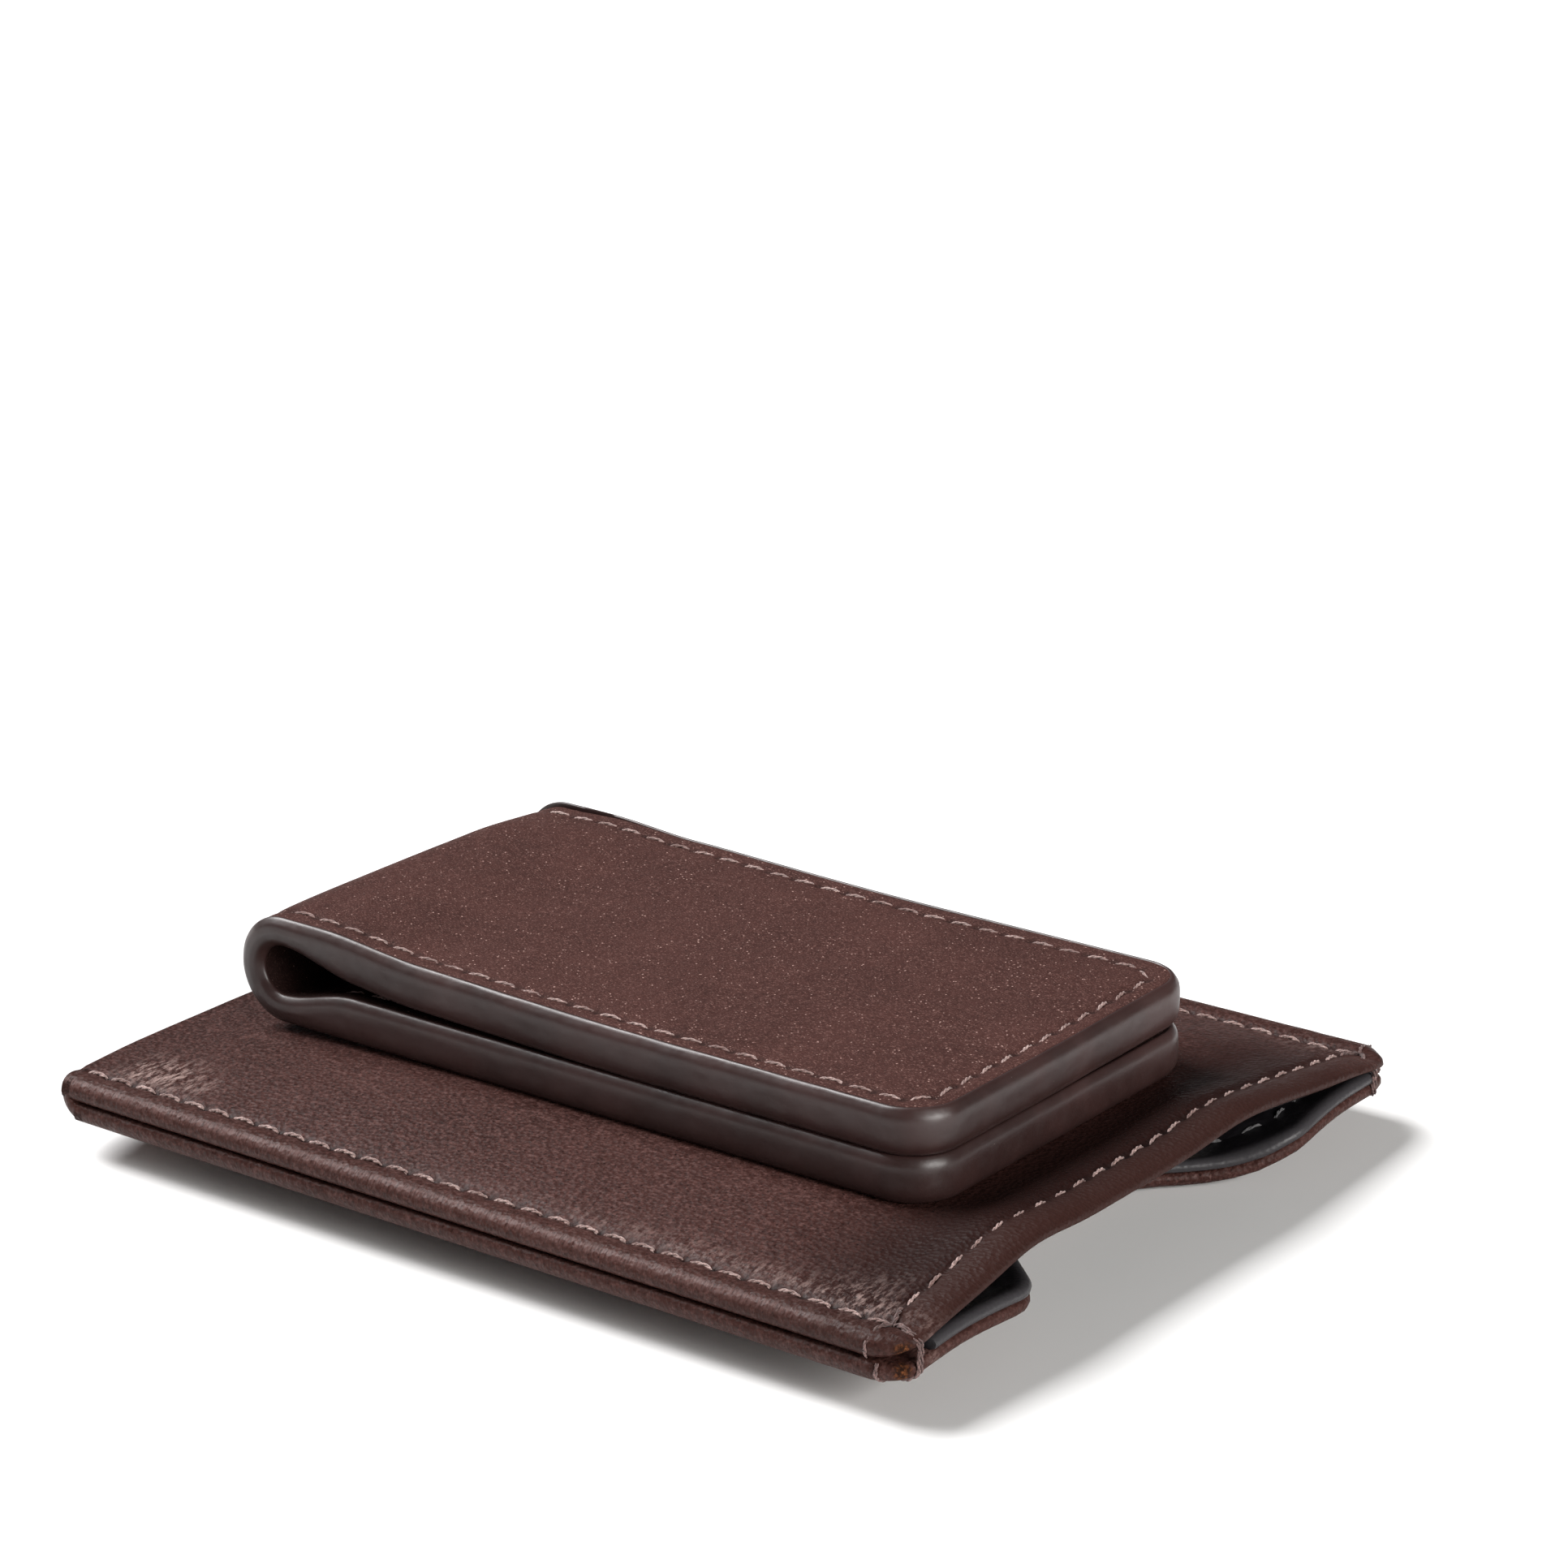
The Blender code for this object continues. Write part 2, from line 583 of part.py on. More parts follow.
for upper, word in ((False, "lower_leaf"), (True, "upper_leaf")):
    leaf_plate(word + "_skin", upper, ("outer", 0.0), ("outer", SKIN), LEATHER)
    leaf_plate(word + "_core", upper, ("outer", SKIN + 0.05), ("inner", SKIN + 0.05), BOARD,
               pockets=True)
    leaf_plate(word + "_lining", upper, ("inner", SKIN), ("inner", 0.0), LEATHER,
               groove=INNER_GROOVE)
    edge_coat(word + "_edge_coat", upper, PAINT)
    leaf_thread(word + "_inner_thread", upper, False, THREAD, depth=INNER_GROOVE)
    middle = (leaf_z(upper, MAGNET_X, "outer", 0.0) + leaf_z(upper, MAGNET_X, "inner", 0.0)) / 2
    for side, end in ((-1, "near"), (1, "far")):
        block(word + "_magnet_" + end, MAGNET_X, side * MAGNET_Y, middle, MAGNET, METAL)
leaf_thread("upper_leaf_top_thread", True, True, THREAD)

fold_sheet("clip_fold_skin", 0.0, FOLD_SKIN, LEATHER)
fold_sheet("clip_fold_lining", FOLD_SKIN + 0.05, FOLD_WALL, LEATHER)
fold_edge("clip_fold_edge_near", -1, PAINT)
fold_edge("clip_fold_edge_far", 1, PAINT)
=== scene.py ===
import itertools
import math

import bpy
import numpy as np
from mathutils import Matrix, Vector


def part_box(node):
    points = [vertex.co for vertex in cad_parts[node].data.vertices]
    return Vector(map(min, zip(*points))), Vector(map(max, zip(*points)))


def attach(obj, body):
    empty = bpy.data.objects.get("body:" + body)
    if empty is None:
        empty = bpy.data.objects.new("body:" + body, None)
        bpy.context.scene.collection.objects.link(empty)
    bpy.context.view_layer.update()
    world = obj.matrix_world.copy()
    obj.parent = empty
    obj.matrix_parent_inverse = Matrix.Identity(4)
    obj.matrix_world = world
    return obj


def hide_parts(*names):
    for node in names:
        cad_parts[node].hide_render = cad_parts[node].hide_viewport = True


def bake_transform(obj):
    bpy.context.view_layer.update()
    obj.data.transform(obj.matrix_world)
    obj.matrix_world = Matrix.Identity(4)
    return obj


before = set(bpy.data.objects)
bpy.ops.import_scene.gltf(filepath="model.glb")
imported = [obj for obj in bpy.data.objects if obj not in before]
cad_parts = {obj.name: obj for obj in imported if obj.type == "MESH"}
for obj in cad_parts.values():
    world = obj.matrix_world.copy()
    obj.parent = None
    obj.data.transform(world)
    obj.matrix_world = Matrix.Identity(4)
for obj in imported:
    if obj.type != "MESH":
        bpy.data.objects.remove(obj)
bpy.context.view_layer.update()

MM = 0.001


def box_mm(node):
    low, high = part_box(node)
    return np.array(low) / MM, np.array(high) / MM


# ---- sizes taken from the CAD parts
HALF_LENGTH, HALF_WIDTH = box_mm("outer_leather")[1][:2]
EDGE_Z = float(np.mean([corner[2] for corner in box_mm("near_corner_tack")]))  # the slit's height
SEAM_TOP_LOW = box_mm("near_seam_top_thread")[0]
THREAD_TOP = 0.14
PANEL = SEAM_TOP_LOW[2] - THREAD_TOP - EDGE_Z  # a panel's outside above the slit
FIELD = 1.1  # its inside above the slit
LINING_FACE, LINING_BACK, LINING_HALF = 0.15, 0.6, 37.2
FOLD_X = -HALF_LENGTH + PANEL  # centre of the wallet's fold
REACH = HALF_LENGTH - FOLD_X
STITCH = 3.175
NEEDLE_DENT, NEEDLE_HOLE = 0.42, 0.48
SIDE_THREAD, MOUTH_THREAD, CLIP_THREAD, TACK_THREAD = 0.40, 0.34, 0.33, 0.36
SEAM_SIDE, SEAM_MOUTH = 3.1, 4.0  # the seams' distances in from the edges
SEAM_Y = HALF_WIDTH - SEAM_SIDE
SEAM_START, SEAM_COUNT = SEAM_TOP_LOW[0], 30
MOUTH_COUNT = 23
MOUTH_START = -MOUTH_COUNT / 2 * STITCH
FRONT_ARCH, MOUTH_ARCH, FOLD_SWELL = 1.75, 2.45, 0.35
ARCH_HALF, BELLY_HALF, MOUTH_RISE_START = 38.6, 9.0, 40.0
BACK_SAG, MOUTH_SAG = 3.4, 2.7
NOTCH_HALF_OPEN, NOTCH_HALF_FLOOR, NOTCH_DEPTH = 22.0, 11.0, 11.0

CLIP_LOW, CLIP_HIGH = box_mm("lower_leaf_edge_coat")
CLIP_RIGHT, CLIP_HALF = CLIP_HIGH[0] - 0.2, CLIP_HIGH[1]
CLIP_FLOOR = box_mm("lower_leaf_skin")[0][2]
CLIP_LEFT = box_mm("clip_fold_skin")[0][0]
LEAF_START = CLIP_LOW[0]
LEAF, FOLD_WALL, FOLD_RADIUS = 4.45, 2.8, 5.35
LEAF_GAP, FOLD_RISE = 0.1, 1.7
FOLD_FLAT = 0.2  # share of the fold's length that runs straight at either end
CLIP_CORNER, COAT, SKIN, CLIP_SEAM = 5.4, 1.0, 1.3, 2.9
FACE_INSET = COAT - 0.05
CLIP_CX = CLIP_LEFT + FOLD_RADIUS
CLIP_CZ = CLIP_FLOOR + FOLD_RADIUS


# ---- numeric helpers
def clamp01(t):
    return np.clip(t, 0.0, 1.0)


def ease(t):
    t = clamp01(t)
    return t * t * (3 - 2 * t)


def ramp(t, r=0.22):
    """0 to 1 with rounded ends."""
    t = np.asarray(t, float)
    low = (t + r) ** 2 / (4 * r)
    high = 1 - (1 + r - t) ** 2 / (4 * r)
    out = np.where(t < -r, 0.0, np.where(t < r, low, t))
    return np.where(t >= 1 + r, 1.0, np.where(t >= 1 - r, high, out))


def bell(d, width):
    return np.exp(-(d / width) ** 2)


def unit(v):
    return v / np.linalg.norm(v, axis=-1, keepdims=True)


def points(x, y, z):
    return np.stack(np.broadcast_arrays(x, y, z), axis=-1)


def noise(x, y, z, size, seed):
    """Smooth value noise from -1 to 1 with cells of the given size in mm."""
    p = [np.asarray(c, float) / size for c in np.broadcast_arrays(x, y, z)]
    cell = [np.floor(c).astype(np.int64) for c in p]
    f = [ease(c - i) for c, i in zip(p, cell)]
    total = 0.0
    for step in itertools.product((0, 1), repeat=3):
        n = sum((c + d) * k for c, d, k in zip(cell, step, (374761393, 668265263, 2147483629)))
        n = n + seed * 1446653
        n = (n ^ (n >> 13)) * 1274126177
        value = ((n ^ (n >> 16)) & 0xFFFF) / 32767.5 - 1.0
        weight = math.prod(t if d else 1 - t for t, d in zip(f, step))
        total = total + weight * value
    return total


def evenly(pts, count=None):
    """Points spread evenly along a line: count of them, or about a stitch apart."""
    s = np.concatenate([[0], np.cumsum(np.linalg.norm(np.diff(pts, axis=0), axis=1))])
    at = np.linspace(0, s[-1], count or int(round(s[-1] / STITCH)) + 1)
    return np.stack([np.interp(at, s, column) for column in pts.T], axis=1)


def curve_points(control, count):
    """Catmull-Rom curve through the control points, evenly spread by length."""
    c = np.asarray(control, float)
    c = np.vstack([2 * c[0] - c[1], c, 2 * c[-1] - c[-2]])
    pts = []
    for a, b, d, e in zip(c, c[1:], c[2:], c[3:]):
        for t in np.linspace(0, 1, 16, endpoint=False):
            pts.append(0.5 * (2 * b + (d - a) * t + (2 * a - 5 * b + 4 * d - e) * t ** 2
                              + (3 * b - a - 3 * d + e) * t ** 3))
    return evenly(np.array(pts + [c[-2]]), count)


# ---- mesh helpers
def add_object(name, data):
    ob = bpy.data.objects.new(name, data)
    bpy.context.scene.collection.objects.link(ob)
    return ob


def make_mesh(name, verts, faces, material, attributes, sharp):
    """Closed mesh with its faces turned outwards; sharp is the angle that stays creased."""
    v = np.asarray(verts, float) * MM
    f = [tuple(int(i) for i in q) for q in faces]
    a, b, c, d = np.array([[v[q[0]], v[q[1]], v[q[2]], v[q[-1]]] for q in f]).transpose(1, 0, 2)
    if (a * (np.cross(b, c) + np.cross(c, d))).sum() < 0:
        f = [q[::-1] for q in f]
    mesh = bpy.data.meshes.new(name)
    mesh.from_pydata(v.tolist(), [], f)
    for key, values in attributes.items():
        layer = mesh.attributes.new(key, "FLOAT", "POINT")
        layer.data.foreach_set("value", np.asarray(values, np.float32).ravel())
    mesh.polygons.foreach_set("use_smooth", [True] * len(mesh.polygons))
    mesh.set_sharp_from_angle(angle=math.radians(sharp))
    mesh.materials.append(material)
    mesh.update()
    return add_object(name, mesh)


def sheet(name, outer, inner, material, attributes, sharp):
    """Closed sheet between two equal grids of points, with side walls."""
    m, n = outer.shape[:2]
    off = m * n
    index = np.arange(off).reshape(m, n)
    a, b = index[:-1, :-1].ravel(), index[1:, :-1].ravel()
    c, d = index[1:, 1:].ravel(), index[:-1, 1:].ravel()
    top = np.stack([a, b, c, d], axis=1)
    bottom = np.stack([d, c, b, a], axis=1) + off
    ring = np.concatenate([index[:, 0], index[-1, 1:], index[-2::-1, -1], index[0, -2:0:-1]])
    after = np.roll(ring, -1)
    walls = np.stack([after, ring, ring + off, after + off], axis=1)
    verts = np.concatenate([outer.reshape(-1, 3), inner.reshape(-1, 3)])
    spread = {key: np.concatenate([grid.ravel(), np.zeros(off)])
              for key, grid in attributes.items()}
    return make_mesh(name, verts, np.concatenate([top, bottom, walls]), material, spread, sharp)


def bars(name, rings_list, material, sharp=60.0):
    """One mesh of closed bars, each a (sections, points, 3) array."""
    verts, faces, base = [], [], 0
    for rings in rings_list:
        m, n = rings.shape[:2]
        verts += [rings.reshape(-1, 3), rings[[0, -1]].mean(axis=1)]
        first, last = base + m * n, base + m * n + 1
        for k in range(m - 1):
            low, high = base + k * n, base + (k + 1) * n
            for j in range(n):
                j2 = (j + 1) % n
                faces.append((low + j, low + j2, high + j2, high + j))
        for j in range(n):
            j2 = (j + 1) % n
            faces.append((base + j2, base + j, first))
            faces.append((last - 1 - n + j, last - 1 - n + j2, last))
        base += m * n + 2
    return make_mesh(name, np.concatenate(verts), faces, material, {}, sharp)


def tube(path, radius):
    """Rings of a six-sided tube round a path, with its ends drawn in."""
    tangent = unit(np.gradient(path, axis=0))
    steep = abs(tangent[len(path) // 2][2]) > 0.9
    side = np.cross(tangent, [0.0, 1.0, 0.0] if steep else [0.0, 0.0, 1.0])
    length = np.linalg.norm(side, axis=1)[:, None]
    side = np.where(length > 1e-6, side / np.maximum(length, 1e-9), [1.0, 0.0, 0.0])
    up = np.cross(side, tangent)
    r = np.full((len(path), 1, 1), radius)
    r[[0, -1]] *= 0.55
    a = np.linspace(0, 2 * math.pi, 6, endpoint=False)[None, :, None]
    return path[:, None] + r * (np.cos(a) * side[:, None] + np.sin(a) * up[:, None])


# ---- materials
class Nodes:
    """A material's node tree, built with short calls."""

    def __init__(self, name):
        self.material = bpy.data.materials.new(name)
        self.material.use_nodes = True
        self.tree = self.material.node_tree
        self.shader = self.tree.nodes["Principled BSDF"]
        self.place = self.add("ShaderNodeTexCoord").outputs["Object"]

    def add(self, kind, **settings):
        node = self.tree.nodes.new(kind)
        for key, value in settings.items():
            setattr(node, key, value)
        return node

    def link(self, a, b):
        self.tree.links.new(a, b)

    def connect(self, value, target):
        """Feed an input from a socket, a colour or a number."""
        if isinstance(value, bpy.types.NodeSocket):
            self.link(value, target)
        else:
            target.default_value = (*value, 1.0) if isinstance(value, tuple) else value

    def mapped(self, scale, turn=0.0):
        """Object coordinates scaled, and turned round Z by an angle in radians."""
        node = self.add("ShaderNodeMapping")
        node.inputs["Scale"].default_value = scale
        node.inputs["Rotation"].default_value = (0, 0, turn)
        self.link(self.place, node.inputs["Vector"])
        return node.outputs["Vector"]

    def noise(self, size_mm, detail=4.0, rough=0.55, vector=None, distortion=0.0):
        node = self.add("ShaderNodeTexNoise")
        for key, number in (("Scale", 1000.0 / size_mm), ("Detail", detail),
                            ("Roughness", rough), ("Distortion", distortion)):
            node.inputs[key].default_value = number
        self.link(vector or self.place, node.inputs["Vector"])
        return node.outputs["Fac"]

    def cells(self, size_mm, smooth=None):
        """Distance to the nearest of scattered points, with smooth joins if asked."""
        node = self.add("ShaderNodeTexVoronoi", feature="SMOOTH_F1" if smooth else "F1")
        node.inputs["Scale"].default_value = 1000.0 / size_mm
        if smooth:
            node.inputs["Smoothness"].default_value = smooth
        self.link(self.place, node.inputs["Vector"])
        return node.outputs["Distance"]

    def ranged(self, value, low, high, to_low=0.0, to_high=1.0):
        node = self.add("ShaderNodeMapRange", interpolation_type="SMOOTHSTEP")
        for key, number in (("From Min", low), ("From Max", high),
                            ("To Min", to_low), ("To Max", to_high)):
            node.inputs[key].default_value = number
        self.link(value, node.inputs["Value"])
        return node.outputs["Result"]

    def patchy(self, size_mm, detail, rough, low, high, vector=None):
        return self.ranged(self.noise(size_mm, detail, rough, vector), low, high)

    def spots(self, size_mm, low, high):
        return self.ranged(self.cells(size_mm), low, high, 1.0, 0.0)

    def math(self, operation, a, b):
        node = self.add("ShaderNodeMath", operation=operation)
        self.connect(a, node.inputs[0])
        self.connect(b, node.inputs[1])
        return node.outputs[0]

    def times(self, a, b):
        return self.math("MULTIPLY", a, b)

    def mix(self, factor, a, b):
        node = self.add("ShaderNodeMix", data_type="RGBA")
        for value, target in ((factor, node.inputs["Factor"]), (a, node.inputs[6]),
                              (b, node.inputs[7])):
            self.connect(value, target)
        return node.outputs[2]

    def tint(self, base, mask, amount, colour):
        """Part of the way from the base to a colour, where the mask says."""
        return self.mix(self.times(mask, amount), base, colour)

    def attribute(self, name):
        return self.add("ShaderNodeAttribute", attribute_name=name).outputs["Fac"]

    def bump(self, height, distance_mm, strength, normal=None):
        node = self.add("ShaderNodeBump")
        node.inputs["Distance"].default_value = distance_mm * MM
        node.inputs["Strength"].default_value = strength
        self.link(height, node.inputs["Height"])
        if normal is not None:
            self.link(normal, node.inputs["Normal"])
        return node.outputs["Normal"]

    def roughness(self, size_mm, low, high, detail=5.0):
        return self.ranged(self.noise(size_mm, detail, 0.6), 0.25, 0.8, low, high)

    def set(self, **values):
        for key, value in values.items():
            self.connect(value, self.shader.inputs[key.replace("_", " ")])
        return self.material


# near black painted into the needle holes as the shade inside them
HOLE_SHADE = (0.0040, 0.0020, 0.0018)


def smooth_leather():
    """Waxed brown calf: fine pebbled grain, darker patches, polished rolled edges; painted glints
    over the grain, a painted highlight along the front bead, painted shade towards the mouth, and
    wrinkles paler from wear and a painted sheen.
    """
    n = Nodes("brown calf leather")
    rim, band, hole, raw, crease, ridge_highlight, shade = (
        n.attribute(name) for name in ("rim", "band", "hole", "raw", "crease", "ridge_highlight", "shade"))
    patches = n.patchy(16.0, 5.0, 0.6, 0.30, 0.72)
    mottle = n.patchy(1.6, 6.0, 0.65, 0.30, 0.75)
    pores = n.spots(0.46, 0.08, 0.34)
    # painted glints: pale specks on the grain that stand in for sparkle from the lamps, dimmed
    # under the painted shade
    grain = n.patchy(0.42, 5.0, 0.75, 0.44, 0.70)
    painted_glints = n.times(grain, n.math("SUBTRACT", 1.0, shade))
    side_strokes = n.noise(0.22, 4.0, 0.6, n.mapped((1.0, 0.20, 0.20), 0.3))
    band_strokes = n.noise(0.30, 4.0, 0.6, n.mapped((0.22, 1.0, 0.22), 0.35))
    # painted highlight: a thin pale striated line along the front bead's ridge, in place of the
    # lamp's reflection
    painted_highlight = n.times(ridge_highlight, n.ranged(side_strokes, 0.34, 0.60))
    # paler on the wrinkles: partly wear, partly a painted sheen where the creases catch the light
    worn = n.times(crease, n.patchy(0.55, 5.0, 0.75, 0.45, 0.64,
                                    n.mapped((1.0, 0.36, 1.0), -0.75)))
    base = n.mix(patches, (0.0220, 0.0072, 0.0056), (0.0350, 0.0127, 0.0103))
    for mask, amount, colour in ((mottle, 0.45, (0.0600, 0.0235, 0.0195)),
                                 (shade, 0.85, (0.0135, 0.0042, 0.0034)),
                                 (pores, 0.90, (0.0060, 0.0020, 0.0017)),
                                 (painted_glints, 0.58, (0.1550, 0.0780, 0.0700)),
                                 (painted_highlight, 0.75, (0.2000, 0.1150, 0.1060)),
                                 (worn, 0.85, (0.3800, 0.2700, 0.2450)),
                                 (rim, 0.35, (0.0380, 0.0150, 0.0115)),
                                 (band, 0.40, (0.0480, 0.0200, 0.0160))):
        base = n.tint(base, mask, amount, colour)
    fibres = n.mix(n.patchy(0.35, 4.0, 0.7, 0.42, 0.68),
                   (0.0260, 0.0095, 0.0050), (0.2500, 0.0850, 0.0300))
    # needle holes painted near black as shade
    base = n.mix(hole, n.mix(raw, base, fibres), HOLE_SHADE)
    wrinkles = n.noise(0.85, 5.0, 0.6, n.mapped((1.0, 0.42, 1.0), -0.75), distortion=0.9)
    normal = None
    for height, distance, strength in ((n.cells(0.48, 0.30), 0.12, 0.80),
                                       (n.noise(1.1, 6.0, 0.65, distortion=0.6), 0.10, 0.45),
                                       (n.times(wrinkles, crease), 0.55, 0.9),
                                       (n.times(side_strokes, rim), 0.10, 0.8),
                                       (n.times(band_strokes, band), 0.10, 0.7),
                                       (n.times(n.noise(0.30, 5.0, 0.8), raw), 0.5, 1.0)):
        normal = n.bump(height, distance, strength, normal)
    rough = n.roughness(2.4, 0.46, 0.64)
    rough = n.math("SUBTRACT", rough, n.times(rim, 0.12))
    rough = n.math("SUBTRACT", rough, n.times(crease, 0.14))
    rough = n.math("ADD", rough, n.times(raw, 0.35))
    return n.set(Base_Color=base, Roughness=rough, Normal=normal, Specular_IOR_Level=0.11)


def napped_leather(name, tone):
    """Waxed nubuck on the clip: short nap with pale flecks; a low tone darkens the whole copy as
    painted shade.
    """
    n = Nodes(name)
    patches = n.patchy(11.0, 6.0, 0.62, 0.28, 0.72)
    mottle = n.patchy(0.7, 6.0, 0.7, 0.28, 0.75)
    specks = n.spots(0.42, 0.08, 0.24)
    slant = n.mapped((1.0, 2.0, 1.0), math.radians(32))
    dust = n.patchy(0.24, 3.0, 0.6, 0.53, 0.68, slant)
    here_and_there = n.patchy(1.7, 3.0, 0.6, 0.42, 0.56)
    flecks = n.times(n.spots(0.60, 0.09, 0.18), here_and_there)

    def toned(*colour):
        return tuple(tone * c for c in colour)

    base = n.mix(patches, toned(0.0320, 0.0110, 0.0088), toned(0.0500, 0.0184, 0.0150))
    for mask, amount, colour in ((mottle, 0.50, toned(0.0800, 0.0330, 0.0280)),
                                 (specks, 0.85, toned(0.0100, 0.0034, 0.0028)),
                                 (dust, 0.75, toned(0.2000, 0.1050, 0.0900)),
                                 (flecks, 0.85, toned(0.5000, 0.3250, 0.2850))):
        base = n.tint(base, mask, amount, colour)
    # needle holes painted near black as shade
    base = n.mix(n.attribute("hole"), base, HOLE_SHADE)
    normal = n.bump(n.noise(0.24, 6.0, 0.75, slant), 0.10, 0.85)
    normal = n.bump(n.noise(2.2, 5.0, 0.6), 0.12, 0.4, normal)
    return n.set(Base_Color=base, Roughness=n.roughness(1.3, 0.62, 0.80), Normal=normal,
                 Specular_IOR_Level=0.10)


def edge_paint():
    """Thick burnished edge paint with a soft gloss and a few specks of dust."""
    n = Nodes("dark edge paint")
    drift = n.patchy(7.0, 4.0, 0.5, 0.3, 0.7)
    dust = n.spots(2.6, 0.012, 0.024)
    base = n.mix(drift, (0.0230, 0.0105, 0.0095), (0.0380, 0.0175, 0.0160))
    base = n.tint(base, dust, 0.5, (0.2200, 0.1800, 0.1700))
    normal = n.bump(n.noise(3.2, 3.0, 0.5), 0.16, 0.5)
    normal = n.bump(n.noise(0.45, 5.0, 0.6), 0.012, 0.5, normal)
    return n.set(Base_Color=base, Roughness=n.roughness(1.5, 0.34, 0.46), Normal=normal,
                 Specular_IOR_Level=0.50)


def black_lining():
    """Thin glazed leather, with a painted grey highlight along its rolled rim."""
    n = Nodes("black lining leather")
    base = n.mix(n.patchy(5.0, 5.0, 0.6, 0.3, 0.7), (0.0050, 0.0043, 0.0052),
                 (0.0110, 0.0096, 0.0112))
    base = n.tint(base, n.spots(0.5, 0.04, 0.2), 0.4,
                  (0.0015, 0.0015, 0.0018))
    # painted highlight: grey along the rolled rim, where the lamps reflect
    base = n.tint(base, n.attribute("rim"), 0.7, (0.060, 0.056, 0.060))
    normal = n.bump(n.cells(0.45, 0.4), 0.05, 0.5)
    normal = n.bump(n.noise(1.4, 5.0, 0.6), 0.10, 0.4, normal)
    return n.set(Base_Color=base, Roughness=n.roughness(1.8, 0.30, 0.46), Normal=normal,
                 Specular_IOR_Level=0.24)


def thread_material(name, dark, light):
    """Waxed polyester thread with its strands darker between."""
    n = Nodes(name)
    tone = n.patchy(2.6, 4.0, 0.6, 0.3, 0.7)
    strands = n.patchy(0.26, 4.0, 0.7, 0.38, 0.62, n.mapped((1.0, 1.0, 1.6)))
    base = n.tint(n.mix(tone, dark, light), strands, 0.65, tuple(0.30 * c for c in dark))
    return n.set(Base_Color=base, Roughness=n.roughness(0.8, 0.5, 0.7, 4.0),
                 Normal=n.bump(strands, 0.03, 0.8), Specular_IOR_Level=0.4, Sheen_Weight=0.25,
                 Sheen_Roughness=0.4)


def fibre_board():
    n = Nodes("fibre board")
    base = n.mix(n.patchy(0.6, 6.0, 0.7, 0.3, 0.7), (0.20, 0.14, 0.09),
                 (0.40, 0.31, 0.22))
    return n.set(Base_Color=base, Roughness=n.ranged(n.noise(0.9), 0.3, 0.7, 0.75, 0.95),
                 Normal=n.bump(n.noise(0.25, 6.0, 0.7), 0.08, 0.7))


def plated_magnet():
    n = Nodes("nickel plated magnet")
    base = n.mix(n.ranged(n.noise(3.0), 0.3, 0.7), (0.48, 0.47, 0.45), (0.66, 0.65, 0.62))
    rough = n.ranged(n.noise(0.7, 5.0, 0.6, n.mapped((1.0, 6.0, 1.0))), 0.3, 0.7, 0.22, 0.38)
    return n.set(Base_Color=base, Roughness=rough, Metallic=1.0,
                 Normal=n.bump(n.noise(0.2, 5.0), 0.01, 0.5))


CALF = smooth_leather()
NUBUCK = napped_leather("brown nubuck leather", 1.0)
# a darker copy for the leaves' inner faces and the fold's inside: painted shade where they lie in
# shadow
SHADED_NUBUCK = napped_leather("inner nubuck with painted shade", 0.30)
PAINT = edge_paint()
LINING = black_lining()
THREAD = thread_material("pale brown thread", (0.220, 0.125, 0.110), (0.560, 0.400, 0.370))
WORN_THREAD = thread_material("worn brown thread", (0.070, 0.034, 0.030), (0.210, 0.120, 0.110))
DARK_THREAD = thread_material("charcoal thread", (0.090, 0.086, 0.090), (0.210, 0.200, 0.205))
BOARD = fibre_board()
MAGNET = plated_magnet()


def finish_piece(piece, body, node):
    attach(piece, body)
    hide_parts(node)


# ---- shape of the wallet body
# drop of the back panel along its notched mouth: (y, drop)
MOUTH_DROOP = curve_points([(-42.2, 0.1), (-38.0, -0.25), (-32.0, -0.5), (-24.0, 0.1),
                            (-16.0, 1.3), (-8.0, 2.5), (0.0, 3.1), (10.0, 3.4), (16.5, 3.3),
                            (19.5, 2.5), (22.0, 1.3), (25.5, 0.4), (31.0, -0.3), (38.0, -0.3),
                            (42.2, 0.0)], 400)


def swell(y):
    """0 to 1 over the arched width, fullest in the middle."""
    return 1 - np.minimum(1.0, np.abs(y) / ARCH_HALF) ** 5


def arch(x, y):
    """Rise of the front panel above its sewn edges, with two soft humps at the mouth."""
    w = 1 - clamp01((-10.0 - x) / (-10.0 - FOLD_X)) ** 1.6
    a = FOLD_SWELL + (FRONT_ARCH - FOLD_SWELL) * w
    a = a + (MOUTH_ARCH - FRONT_ARCH) * ease((x - MOUTH_RISE_START + 0.4) / 6.6)
    power = 5 - 1.6 * ease((x - 30.0) / 14.0)
    humps = 0.8 * bell(y + 22.0, 6.0) + 0.55 * bell(y - 12.5, 6.5) - 0.4 * bell(y - 28.0, 6.0)
    return a * (1 - np.minimum(1.0, np.abs(y) / ARCH_HALF) ** power) \
        + humps * ease((x - 35.0) / 11.0)


def sag(x, y):
    """Drop of the back panel below its sewn edges, flat along the middle."""
    w = clamp01((np.abs(y) - BELLY_HALF) / (SEAM_Y - BELLY_HALF))
    full = 1 - clamp01((-25.0 - x) / (-25.0 - FOLD_X)) ** 2
    depth = BACK_SAG * full - (BACK_SAG - MOUTH_SAG) * ease((x - 16.0) / 18.0)
    power = 2.2 - 1.35 * ease((x - 20.0) / 24.0)
    inside = depth * (1 - w ** power) + (1 - full) * FOLD_SWELL * swell(y)
    flaps = np.interp(y, MOUTH_DROOP[:, 0], MOUTH_DROOP[:, 1])
    return inside + (flaps - inside) * ease((x - 24.0) / 18.0)


